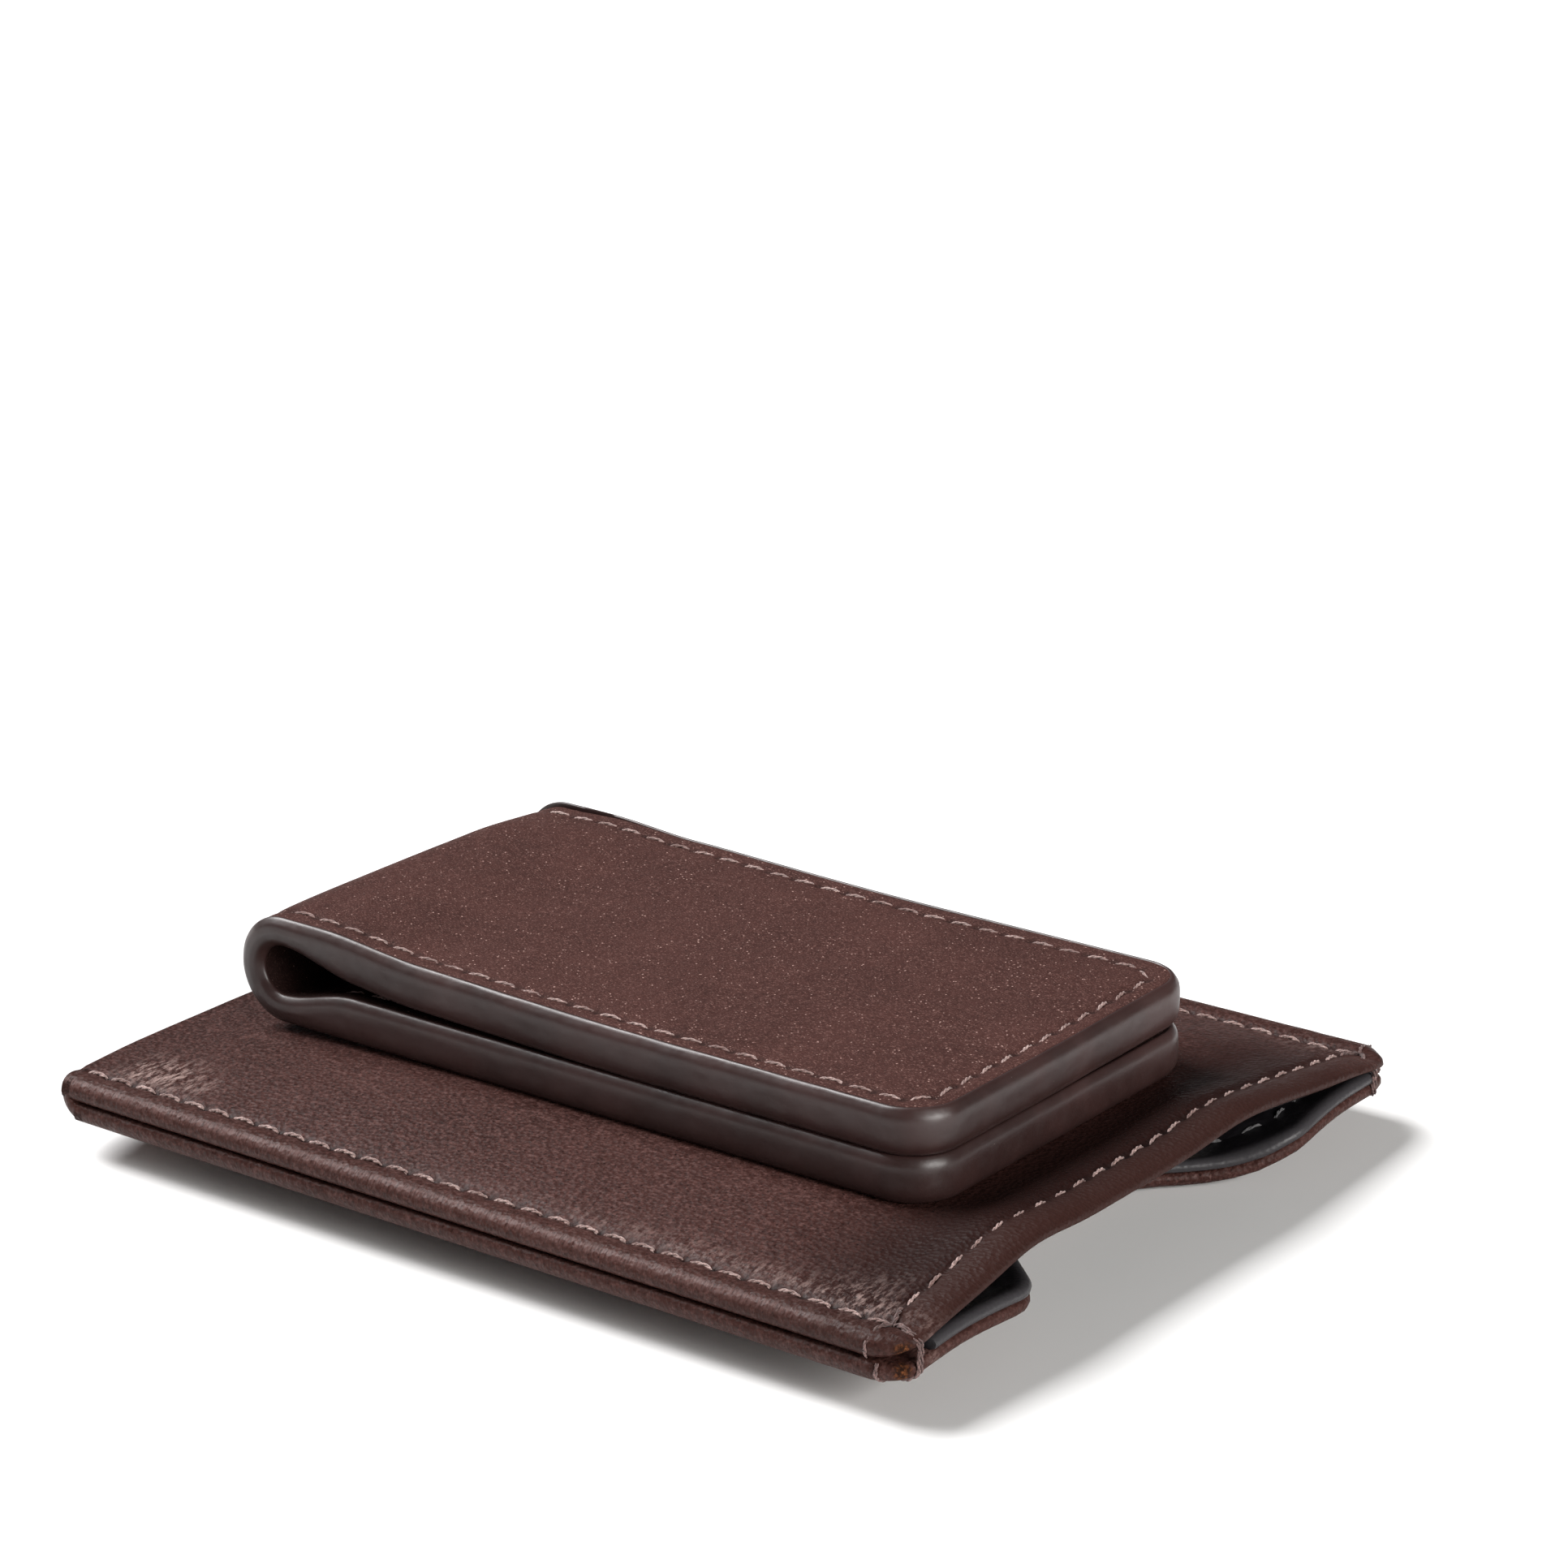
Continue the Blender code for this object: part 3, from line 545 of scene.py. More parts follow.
def back_mouth(y):
    """Edge of the back panel, with its thumb notch."""
    t = (NOTCH_HALF_OPEN - np.abs(y)) / (NOTCH_HALF_OPEN - NOTCH_HALF_FLOOR)
    return HALF_LENGTH - NOTCH_DEPTH * ramp(t)


def mouth_edge(front, y):
    """X of the mouth edge; the front's far corner is the more rounded one."""
    rounding = clamp01((y - 36.0) / 5.5) ** 2
    return HALF_LENGTH - 1.5 * rounding if front else back_mouth(y) - 1.9 * rounding


def mouth_slope(front, y):
    """Cosine of the angle between the mouth edge and the Y axis."""
    if front:
        return np.ones(np.shape(y))
    d = (back_mouth(y + 0.05) - back_mouth(y - 0.05)) / 0.1
    return 1 / np.sqrt(1 + d * d)


def to_hole(x, start, count):
    """Distance along a seam to its nearest needle hole."""
    return x - (start + np.clip(np.round((x - start) / STITCH), 0, count) * STITCH)


def pucker(x, start):
    """Wave along a seam, highest at its needle holes."""
    return np.cos(2 * math.pi * (x - start) / STITCH)


def seam_inset(front, y):
    """Distance of a side seam from the edge; the far one on the front sits further in."""
    return SEAM_SIDE + 0.5 * (y > 0) * front


def relief(front, x, y):
    """Outward height of the leather over its plain shape: seams, dents, puckers, waves."""
    e_side = HALF_WIDTH - np.abs(y)
    far_front = (y > 0) * front

    # side seam: its groove, needle dents and puckers
    in_seam = clamp01(x - SEAM_START + 1.0) * clamp01(HALF_LENGTH - 2.6 - x)
    d = e_side - seam_inset(front, y)
    tight = 0.035 + 0.025 * noise(x, y, 0, 11.0, 41)
    out = -(0.17 + 0.20 * far_front) * bell(d, 0.62) * in_seam
    out += -0.34 * bell(np.hypot(d, to_hole(x, SEAM_START, SEAM_COUNT)), NEEDLE_DENT) * in_seam
    out += -tight * pucker(x, SEAM_START) * bell(d - 0.9, 1.3) * in_seam
    out += 0.07 * bell(d + 1.5, 0.8)

    # mouth seam
    m = (mouth_edge(front, y) - x) * mouth_slope(front, y) - SEAM_MOUTH
    wide = clamp01((SEAM_Y - 2.2 - np.abs(y)) / 1.0)
    out += -0.22 * bell(m, 0.75) * wide
    out += -0.32 * bell(np.hypot(m, to_hole(y, MOUTH_START, MOUTH_COUNT)), NEEDLE_DENT) * wide
    out += -0.04 * pucker(y, MOUTH_START) * bell(m - 0.9, 1.3) * wide
    out += 0.10 * bell(m + 1.9, 1.0) * wide

    # soft waves, except under the clip and where the wallet lies on its belly
    if front:
        calm = 1 - clamp01((CLIP_HALF + 3.5 - np.abs(y)) / 3.0) \
            * clamp01((CLIP_RIGHT + 3.5 - x) / 3.0) * clamp01((x - CLIP_LEFT + 3.0) / 3.0)
    else:
        calm = clamp01((np.abs(y) - 12.0) / 6.0) * (sag(x, y) < 3.0)
    waves = 0.12 * noise(x, y, 0, 13.0, 3) + 0.05 * noise(x, y, 0, 4.5, 5)
    out += calm * waves * clamp01((e_side - 1.0) / 4.0)
    corner = bell(np.hypot(x - 40.0, e_side - 7.0), 8.0)
    return out + calm * corner * 0.07 * noise(x * 0.6 + y, x - y, 0, 2.2, 12)


def creasing(x, y):
    """0 to 1 where the leather is finely wrinkled: beside the seams' ends and the fold."""
    e_side = HALF_WIDTH - np.abs(y)
    by_fold = bell(e_side - 6.2, 2.8) * ease((x - FOLD_X - 1.0) / 4.0) * ease((-32.0 - x) / 8.0)
    by_mouth = 0.40 * bell(np.hypot(x - HALF_LENGTH + 8.0, e_side - 5.0), 4.0)
    along_seam = 0.35 * bell(e_side - 4.7, 1.2) * ease((x + 10.0) / 45.0)
    return np.clip(by_fold + by_mouth + along_seam, 0.0, 1.0) * np.where(y < 0, 1.0, 0.35)


def panel(front, x, y, h):
    """Points h above the slit, towards the outside of the front or back panel."""
    if front:
        z = EDGE_Z + h * (1 - 0.25 * ease((y - 26.0) / 12.0)) + arch(x, y)
    else:
        z = np.maximum(EDGE_Z - h - sag(x, y), 0.0)
    return points(x, y, z)


def corner_pull(x, y, below):
    """Draws the ends of the wallet's fold in, so that its corners are rounded."""
    return (0.7 + 1.5 * below) * clamp01((np.abs(y) - 33.0) / (HALF_WIDTH - 33.0)) ** 2.5 \
        * ease((FOLD_X + 6.0 - x) / 6.0)


def fold_line(y, r, angle):
    """Points round the wallet's fold, from 90 degrees at the front panel to 270 at the back."""
    a = math.radians(angle)
    r = r + FOLD_SWELL * swell(y)
    return FOLD_X + r * math.cos(a), y, EDGE_Z + r * math.sin(a)


def scaled_to_mouth(x, edge):
    """X of a plain row, stretched between the fold and the mouth edge."""
    return FOLD_X + (x - FOLD_X) * (edge - FOLD_X) / REACH


# rolled edge: distance in from the edge and height above the slit, from the slit to the seam
SIDE_BEAD = curve_points([(0.75, 0.12), (0.30, 0.20), (0.03, 0.58), (0.0, 1.05), (0.22, 1.66),
                          (0.75, 2.07), (1.5, 2.2), (2.3, PANEL), (SEAM_SIDE, PANEL)], 13)
FRONT_BEAD = curve_points([(0.75, 1.0), (0.25, 1.06), (0.02, 1.3), (0.04, 1.6), (0.35, 1.95),
                           (1.0, 2.14), (1.9, PANEL), (3.0, PANEL), (SEAM_MOUTH, PANEL)], 13)
BACK_BEAD = curve_points([(0.9, 0.45), (0.35, 0.5), (0.06, 0.8), (0.06, 1.25), (0.4, 1.72),
                          (1.1, 1.98), (2.0, 2.1), (3.0, 2.17), (SEAM_MOUTH, PANEL)], 13)
BEAD = len(SIDE_BEAD)


def leather_shell():
    """The folded strip: rows of points from the front mouth round the fold to the back one."""
    half = HALF_WIDTH - np.concatenate([[3.45, 3.8, 4.15, 4.6, 5.2],
                                        np.linspace(6.0, HALF_WIDTH, 22, endpoint=False)])
    plain_y = np.concatenate([-half, [0.0], half[::-1]])
    side_y = HALF_WIDTH - SIDE_BEAD[:, 0]
    y_out = np.concatenate([-side_y, plain_y, side_y[::-1]])
    h_side = np.concatenate([SIDE_BEAD[:, 1], np.full(len(plain_y), PANEL), SIDE_BEAD[::-1, 1]])
    n = len(y_out)
    side_y = HALF_WIDTH - np.linspace(4.6, 5.35, BEAD)
    squeeze = (HALF_WIDTH - 5.5) / (SEAM_Y - 0.35)
    y_in = np.concatenate([-side_y, plain_y * squeeze, side_y[::-1]])
    h_in = np.full(n, FIELD)
    h_in[[0, -1]] = 0.12
    step = STITCH / 8
    rows = np.concatenate([HALF_LENGTH - np.array([4.35, 4.75, 5.25, 5.75]),
                           np.arange(SEAM_START + 232 * step, SEAM_START - 0.01, -step),
                           [SEAM_START - 0.4, SEAM_START - 0.75, FOLD_X]])
    e_out = HALF_WIDTH - np.abs(y_out)
    side_rim = bell(e_out - 0.6, 1.5)

    def stretched(front, x, y):
        return scaled_to_mouth(x, mouth_edge(front, y)) + corner_pull(x, y, not front)

    def panel_rows(front):
        outs, ins, rims = [], [], []
        fade = clamp01(e_out / 0.8)
        bead = FRONT_BEAD if front else BACK_BEAD
        for i, e_in in enumerate(np.linspace(6.0, 8.2, BEAD)):
            e, h = bead[i]
            x = mouth_edge(front, y_out) - e / np.maximum(mouth_slope(front, y_out), 0.62)
            y = y_out.copy()
            hh = np.minimum(h_side, h)
            for k in range(BEAD):
                # the two beads meet round the corner, ring by ring
                ring = min(i, k)
                q = np.array([1 - i / (BEAD - 1), 1 - k / (BEAD - 1)])
                q = q / max(np.hypot(*q), 1e-9)
                w = q[0] ** 2
                for j, s in ((k, -1), (n - 1 - k, 1)):
                    short = HALF_LENGTH - float(mouth_edge(front, y[j]))
                    x[j] = HALF_LENGTH - SEAM_MOUTH + (SEAM_MOUTH - bead[ring, 0]) * q[0] \
                        - short * q[0]
                    y[j] = s * (SEAM_Y + (SEAM_SIDE - SIDE_BEAD[ring, 0]) * q[1])
                    hh[j] = bead[ring, 1] * w + SIDE_BEAD[ring, 1] * (1 - w)
            weight = fade * min(1.0, e / 0.9)
            outs.append(panel(front, x, y, hh + weight * relief(front, x, y)))
            x_in = mouth_edge(front, y_in) - e_in / np.maximum(mouth_slope(front, y_in), 0.8)
            h_row = h_in.copy()
            if i == 0:
                h_row[1:-1] = bead[0, 1]
            ins.append(panel(front, x_in, y_in, h_row))
            rims.append(np.maximum(side_rim, bell(e - 1.2, 1.6)))
        for x_plain in rows:
            x = stretched(front, x_plain, y_out)
            outs.append(panel(front, x, y_out, h_side + fade * relief(front, x, y_out)))
            x_in = stretched(front, FOLD_X + (x_plain - FOLD_X) * 0.955, y_in)
            ins.append(panel(front, x_in, y_in, h_in))
            rims.append(side_rim)
        return outs, ins, rims

    front_out, front_in, front_rim = panel_rows(True)
    back_out, back_in, back_rim = panel_rows(False)
    fold_out, fold_in = [], []
    for angle in np.linspace(90, 270, 16)[1:-1]:
        ripple = 0.05 * noise(0, y_out, angle / 40.0, 6.0, 8) * clamp01(e_out / 3.0)
        for store, y, h in ((fold_out, y_out, h_side + ripple), (fold_in, y_in, h_in)):
            x, y, z = fold_line(y, h, angle)
            store.append(points(x + corner_pull(FOLD_X, y, (angle - 90) / 180), y, z))
    outer = np.array(front_out + fold_out + back_out[::-1])
    inner = np.array(front_in + fold_in + back_in[::-1])
    rim = np.array(front_rim + [side_rim] * len(fold_out) + back_rim[::-1])
    x, y, z = np.moveaxis(outer, -1, 0)
    e_side = HALF_WIDTH - np.abs(y)
    is_front = z > EDGE_Z
    d = np.hypot(e_side - seam_inset(is_front, y), to_hole(x, SEAM_START, SEAM_COUNT))
    hole = bell(d, NEEDLE_HOLE)
    for front in (True, False):
        e_mouth = (mouth_edge(front, y) - x) * mouth_slope(front, y) - SEAM_MOUTH
        d = np.hypot(e_mouth, to_hole(y, MOUTH_START, MOUTH_COUNT))
        hole = np.where(is_front == front, np.maximum(hole, bell(d, NEEDLE_HOLE)), hole)
    level = np.abs(z - EDGE_Z)
    raw = clamp01((x - HALF_LENGTH + 1.5) / 0.5) * clamp01((1.75 - level) / 0.3) \
        * clamp01((2.1 - e_side) / 0.4)
    band = ease((x - HALF_LENGTH + SEAM_MOUTH + 0.6) / 1.2) * clamp01((e_side - 2.0) / 2.0)
    # where the painted highlight runs: along the ridge of the front panel's rolled side edge
    ridge_highlight = bell(e_side - 0.5, 0.30) * is_front * clamp01((level - 1.35) / 0.3) \
        * clamp01((HALF_LENGTH - 7.0 - x) / 6.0)
    shade = ease((x - 27.0) / 16.0) * is_front * clamp01((np.abs(y + 3.0) - 46.0) / -14.0)
    return sheet("leather_shell", outer, inner, CALF,
                 {"rim": rim * (1 - band), "band": band, "hole": 0.9 * hole, "raw": raw,
                  "crease": creasing(x, y), "ridge_highlight": ridge_highlight, "shade": shade}, sharp=70.0)


def pocket_lining():
    """The lining strip, which shows beyond the mouth seam with a rolled rim."""
    ys = np.linspace(-LINING_HALF, LINING_HALF, 95)
    beads = {True: curve_points([(1.3, 0.95), (1.05, 0.75), (1.15, 0.5), (1.6, 0.4), (2.3, 0.42),
                                 (3.0, 0.4), (4.2, 0.3)], 14),
             False: curve_points([(0.9, 0.42), (0.28, 0.36), (-0.02, 0.1), (-0.02, -0.32),
                                  (0.35, -0.62), (1.0, -0.66), (1.8, -0.48), (3.0, -0.2),
                                  (4.2, -0.05)], 14)}

    def half(front):
        outs, ins, rims = [], [], []
        slope = np.maximum(mouth_slope(front, ys), 0.72)
        edge = mouth_edge(front, ys)
        for e, h in beads[front]:
            ins.append(panel(front, edge - e / slope, ys, h + 0.14 * bell(e - SEAM_MOUTH, 0.6)))
            x_back = edge - max(e, 1.3) / slope
            outs.append(panel(front, x_back, ys, 0.95 if front else LINING_BACK))
            rims.append(np.full(len(ys), bell(e - 0.3, 0.6)))
        for x_plain in np.linspace(HALF_LENGTH - 5.0, FOLD_X, 120):
            x = scaled_to_mouth(x_plain, edge)
            e = (edge - x) * mouth_slope(front, ys)
            lift = (0.2 if front else -0.2) * bell(e - SEAM_MOUTH, 4.0)
            h = LINING_FACE + lift + 0.14 * bell(e - SEAM_MOUTH, 0.6)
            ins.append(panel(front, x, ys, h + 0.03 * noise(x, ys, 0, 7.0, 4)))
            outs.append(panel(front, x, ys, LINING_BACK + 1.75 * np.maximum(lift, 0.0)))
            rims.append(np.zeros(len(ys)))
        return outs, ins, rims

    front, back = half(True), half(False)
    angles = np.linspace(90, 270, 14)[1:-1]
    fold_out, fold_in = ([points(*fold_line(ys, h, angle)) for angle in angles]
                         for h in (LINING_BACK, LINING_FACE))
    outer = np.array(front[0] + fold_out + back[0][::-1])
    inner = np.array(front[1] + fold_in + back[1][::-1])
    rim = np.array(front[2] + [np.zeros(len(ys))] * len(angles) + back[2][::-1])
    return sheet("lining_leather", inner, outer, LINING, {"rim": rim}, sharp=70.0)


# ---- stitches
def two_ply(path, lateral, up, thick, turns, phase=0.0):
    """Two twisted strands round a path."""
    a = phase + 2 * math.pi * turns * np.linspace(0, 1, len(path))[:, None]
    return [tube(path + thick * 0.27 * (np.cos(a + turn) * lateral + 0.85 * np.sin(a + turn) * up),
                 thick * 0.30) for turn in (0, math.pi)]


def stitch_row(name, holes, up, material, body, node, thick, top, seed, slant=0.17):
    """A seam on a face looking up (1) or down (-1): a twisted stitch between each two holes."""
    depth = 0.30
    up = np.array([0.0, 0.0, up])
    rings = []
    rng = np.random.default_rng(seed)
    for a, b in zip(holes, holes[1:]):
        along = b - a
        lateral = np.cross(unit(along), up)
        t = np.linspace(0.17, 0.93, 13)
        lift = np.sqrt(np.maximum(0.0, np.sin(math.pi * (t - 0.17) / 0.76)))
        jitter = rng.uniform(-0.05, 0.05)
        shift = slant * (1 - 2 * t) * (0.9 + 2 * jitter)
        path = (a + along * t[:, None] + up * (-depth + (depth + top + jitter) * lift)[:, None]
                + lateral * shift[:, None])
        rings += two_ply(path, lateral, up, thick, 1.55, rng.uniform(0, 6.28))
    finish_piece(bars(name, rings, material), body, node)


def side_seam(front, side):
    x = SEAM_START + STITCH * np.arange(SEAM_COUNT + 1)
    h = PANEL - (0.37 if front and side > 0 else 0.18)
    pts = panel(front, x, side * (HALF_WIDTH - seam_inset(front, side)), h)
    word, where = "near" if side < 0 else "far", "top" if front else "under"
    stitch_row(f"{word}_side_stitches_{where}", pts, 1.0 if front else -1.0, THREAD, "wallet",
               f"{word}_seam_{where}_thread", SIDE_THREAD, THREAD_TOP, 3 + side)


def mouth_seam(front, outside, word, top):
    y = MOUTH_START + STITCH * np.arange(MOUTH_COUNT + 1)
    x = mouth_edge(front, y) - SEAM_MOUTH / mouth_slope(front, y)
    pts = panel(front, x, y, PANEL - 0.24 if outside else 0.29)
    mouth = ("front" if front else "back") + "_mouth"
    stitch_row(f"{mouth}_stitches_{word}", pts, 1.0 if front == outside else -1.0,
               THREAD if outside else DARK_THREAD, "wallet", f"{mouth}_{word}_thread",
               MOUTH_THREAD, top, 11)


def corner_tack(side):
    """Thread that ties the two panels together round the end of a side seam."""
    near = side < 0
    word = "near" if near else "far"
    last = SEAM_START + SEAM_COUNT * STITCH
    edge, top = HALF_WIDTH, PANEL if near else PANEL - 0.6
    out = 0.6 if near else -2.4
    x_side = last - 0.7
    mouth, low = (float(mouth_edge(front, side * (SEAM_Y + out))) for front in (True, False))
    # (x, distance from the middle line, height above the slit)
    over_side = [(last, SEAM_Y, top - 0.2), (last - 0.35, SEAM_Y + 0.5, top + 0.12),
                 (x_side + 0.1, edge - 1.6, top + 0.06), (x_side, edge - 0.6, top - 0.42),
                 (x_side, edge - 0.02, 1.15), (x_side, edge - 0.2, 0.1)]
    under_side = [(x_side + 1.1, edge - 0.25, -0.15), (x_side + 1.1, edge - 0.02, -1.15),
                  (x_side + 1.0, edge - 0.6, 0.42 - top), (x_side + 0.9, edge - 1.6, -0.06 - top),
                  (last, SEAM_Y, 0.2 - top)]
    over_mouth = [(last, SEAM_Y, top - 0.2), (last + 0.7, SEAM_Y + 0.3 * out, top + 0.16),
                  (mouth - 1.5, SEAM_Y + 0.8 * out, top + 0.06),
                  (mouth - 0.45, SEAM_Y + 0.95 * out, top - 0.4),
                  (mouth + 0.08, SEAM_Y + out, 1.2), (mouth + 0.02, SEAM_Y + out, 0.0),
                  (low + 0.02, SEAM_Y + out, -1.1),
                  (low - 0.55, SEAM_Y + 0.95 * out, 0.45 - top),
                  (low - 1.6, SEAM_Y + 0.8 * out, -0.06 - top), (last, SEAM_Y, 0.2 - top)]
    rings = []
    for loop, shift, count in ((over_side, 0.0, 26), (under_side, 0.0, 24),
                               (over_mouth, 0.0, 50), (over_mouth, -0.42, 50)):
        x, y, h = curve_points(loop, count).T
        away = np.sin(math.pi * np.linspace(0, 1, count)) ** 0.5
        path = points(x, side * (y + shift * away), EDGE_Z + h)
        tangent = unit(np.gradient(path, axis=0))
        lateral = unit(np.cross(tangent, path - [last - 2.0, side * (SEAM_Y - 2.0), EDGE_Z]))
        rings += two_ply(path, lateral, np.cross(lateral, tangent), TACK_THREAD, count / 9.0,
                         shift)
    # the last stitch, across the corner to the mouth seam
    dx, dy = mouth - SEAM_MOUTH - last, -MOUTH_START - SEAM_Y
    t = np.linspace(0.03, 0.97, 13)
    path = points(last + dx * t, side * (SEAM_Y + dy * t),
                  EDGE_Z + top - 0.35 + 0.5 * np.sin(math.pi * t) ** 0.5)
    path[:, 2] += arch(path[:, 0], path[:, 1])
    lateral = unit(np.array([dy, -side * dx, 0.0]))
    rings += two_ply(path, lateral, np.array([0, 0, 1.0]), 0.42, 1.5)
    finish_piece(bars(f"{word}_bar_tack", rings, WORN_THREAD), "wallet",
                 f"{word}_corner_tack")


# ---- shape of the money clip
def wall(x):
    """Thickness of a leaf, thinner at the fold."""
    return FOLD_WALL + (LEAF - FOLD_WALL) * ease((x - CLIP_CX) / 9.0)


def top_outer(x):
    """Top face of the upper leaf, falling from the fold's crest to the free end."""
    steep = 1 - ease((x - LEAF_START - 1.0) / 12.0)
    gentle = 0.5 * (1 + np.cos(math.pi * clamp01((x - CLIP_CX) / 48.0)))
    return CLIP_FLOOR + 2 * LEAF + LEAF_GAP + FOLD_RISE * (0.45 * steep + 0.55 * gentle)


def leaf_z(upper, x, depth):
    """Height of a leaf at a depth from its outer face."""
    return top_outer(x) - depth if upper else CLIP_FLOOR + depth


def round_corner(x, y, inset):
    """Plan positions of grid points with the free end's corners rounded."""
    r = CLIP_CORNER - inset
    right, half = CLIP_RIGHT - inset, CLIP_HALF - inset
    a, b = right - x, half - np.abs(y)
    qx, qy = (r - a) / r, (r - b) / r
    inside = (a < r) & (b < r)
    q = np.maximum(np.hypot(qx, qy), 1e-9)
    m = np.maximum(qx, qy)
    nx = right - r + r * m * qx / q
    ny = np.sign(y) * (half - r + r * m * qy / q)
    return np.where(inside, nx, x), np.where(inside, ny, y)


def leaf_outline(inset, start, along, corner, across):
    """Line inside a leaf's edge, near side first: rows of x, y and the outward direction."""
    r = CLIP_CORNER - inset
    right, half = CLIP_RIGHT - inset, CLIP_HALF - inset
    plan = [(x, -half, 0.0, -1.0) for x in np.linspace(start, right - r, along)]
    for a in np.radians(np.linspace(-90, 0, corner))[1:]:
        plan.append((right - r + r * math.cos(a), -half + r + r * math.sin(a),
                     math.cos(a), math.sin(a)))
    plan += [(right, y, 1.0, 0.0) for y in np.linspace(-half + r, 0, across)[1:]]
    return np.array(plan + [(x, -y, nx, -ny) for x, y, nx, ny in reversed(plan[:-1])])


CLIP_HOLES = evenly(leaf_outline(CLIP_SEAM, CLIP_CX - 0.8, 2, 7, 2)[:, :2])


def crown(x, y):
    """Rise of the fold's crest between the clip's two painted edges."""
    plain = 0.45 * (1 - np.minimum(1.0, np.abs(y) / (CLIP_HALF - COAT)) ** 4)
    return (plain - 0.42 * ease((y - 9.0) / 11.0)) * bell(x - CLIP_CX, 7.0)


def tilt(upper, x, y):
    """The upper leaf is warped: its far side stands a little higher."""
    return 0.38 * upper * ease((y + 8.0) / 30.0) * ease((x - LEAF_START) / 16.0)


def clip_relief(x, y, strong=1.0):
    """Height of a leaf's face over its plain shape, and 1 at its needle holes."""
    a, b = CLIP_RIGHT - x, CLIP_HALF - np.abs(y)
    edge = np.minimum(a, b)
    rounded = CLIP_CORNER - np.hypot(CLIP_CORNER - a, CLIP_CORNER - b)
    e = np.where((a < CLIP_CORNER) & (b < CLIP_CORNER), rounded, edge) - CLIP_SEAM
    d2 = np.min([(x - hx) ** 2 + (y - hy) ** 2 for hx, hy in CLIP_HOLES], axis=0)
    hole = np.exp(-d2 / 0.40 ** 2)
    out = -0.16 * bell(e, 0.6) * strong - 0.26 * hole * strong
    out += 0.035 * noise(x, y, 0, 9.0, 21) + 0.018 * noise(x, y, 0, 2.6, 22)
    return out - 0.07 * bell(edge - COAT, 0.35), hole


def leaf_face(name, upper, outer_face, material, body, node):
    """One leather face of a leaf, as a closed plate."""
    right, half = CLIP_RIGHT - FACE_INSET, CLIP_HALF - FACE_INSET
    fine = 0.42 if outer_face and upper else 0.62
    xs = np.concatenate([[LEAF_START], np.linspace(LEAF_START + 0.3, right, int(74 / fine))])
    ys = np.linspace(-half, half, int(2 * half / fine) | 1)
    x, y = round_corner(*np.meshgrid(xs, ys, indexing="ij"), FACE_INSET)
    bump, hole = clip_relief(x, y, 1.0 if outer_face else 1.6)
    if outer_face and not upper:
        bump, hole = bump * 0, hole * 0
    sign = 1.0 if upper else -1.0
    if outer_face:
        face = leaf_z(upper, x, 0.0) + sign * bump + upper * crown(x, y)
        hidden = leaf_z(upper, x, SKIN)
    else:
        face = leaf_z(upper, x, wall(x)) - sign * np.minimum(bump, 0.02)
        hidden = leaf_z(upper, x, wall(x) - SKIN)
    warp = tilt(upper, x, y)
    ob = sheet(name, points(x, y, face + warp), points(x, y, hidden + warp), material,
               {"hole": 0.8 * hole}, sharp=55.0)
    finish_piece(ob, body, node)


def coat_section(t):
    """Rounded paint over a cut edge: (distance in, depth from the outer face)."""
    r = min(1.35, 0.42 * t)
    loop = [(COAT, 0.30), (COAT, 0.02), (0.85, -0.05), (0.62, 0.02), (0.36, 0.26 * r),
            (0.13, 0.56 * r), (0.02, r), (0.0, t * 0.5), (0.02, t - r), (0.12, t - 0.56 * r),
            (0.34, t - 0.25 * r), (0.62, t - 0.02), (0.85, t + 0.02), (COAT, t - 0.05),
            (COAT, t - 0.30)]
    return curve_points(loop, 32)


def coat_wobble(x, y, d):
    return 0.035 * noise(x, y, d * 0.6, 3.4, 31) + 0.02 * noise(x, y, d, 1.2, 33)


def leaf_coat(name, upper, body, node):
    rings = []
    for x, y, nx, ny in leaf_outline(0.0, LEAF_START, 92, 17, 22):
        e, d = coat_section(float(wall(x))).T
        e = e + ease((x - LEAF_START) / 3.0) * coat_wobble(x, y, d) * (e < 0.7)
        rings.append(points(x - nx * e, y - ny * e, leaf_z(upper, x, d) + tilt(upper, x, y)))
    finish_piece(bars(name, [np.array(rings)], PAINT, sharp=62.0), body, node)


def fold_point(q, depth):
    """Point in the clip's fold at fraction q, from the lower leaf round to the upper one."""
    lead = LEAF_START - CLIP_CX
    if q < FOLD_FLAT:
        return LEAF_START - lead * q / FOLD_FLAT, CLIP_FLOOR + depth
    if q > 1 - FOLD_FLAT:
        x = CLIP_CX + lead * (q - 1 + FOLD_FLAT) / FOLD_FLAT
        return x, float(top_outer(x)) - depth
    a = math.radians(270 - 180 * (q - FOLD_FLAT) / (1 - 2 * FOLD_FLAT))
    r = FOLD_RADIUS - depth
    return CLIP_CX + r * math.cos(a), CLIP_CZ + r * math.sin(a)


def fold_thickness(q):
    round_part = FOLD_FLAT <= q <= 1 - FOLD_FLAT
    return FOLD_WALL if round_part else float(wall(fold_point(q, 0.0)[0]))


FOLD_Q = np.concatenate([np.linspace(0, FOLD_FLAT, 9)[:-1],
                         np.linspace(FOLD_FLAT, 1 - FOLD_FLAT, 61),
                         np.linspace(1 - FOLD_FLAT, 1.0, 9)[1:]])


def blend_fold(ob, node):
    """Bakes the fold piece's placement into its mesh and hides its CAD part."""
    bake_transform(ob)
    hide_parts(node)


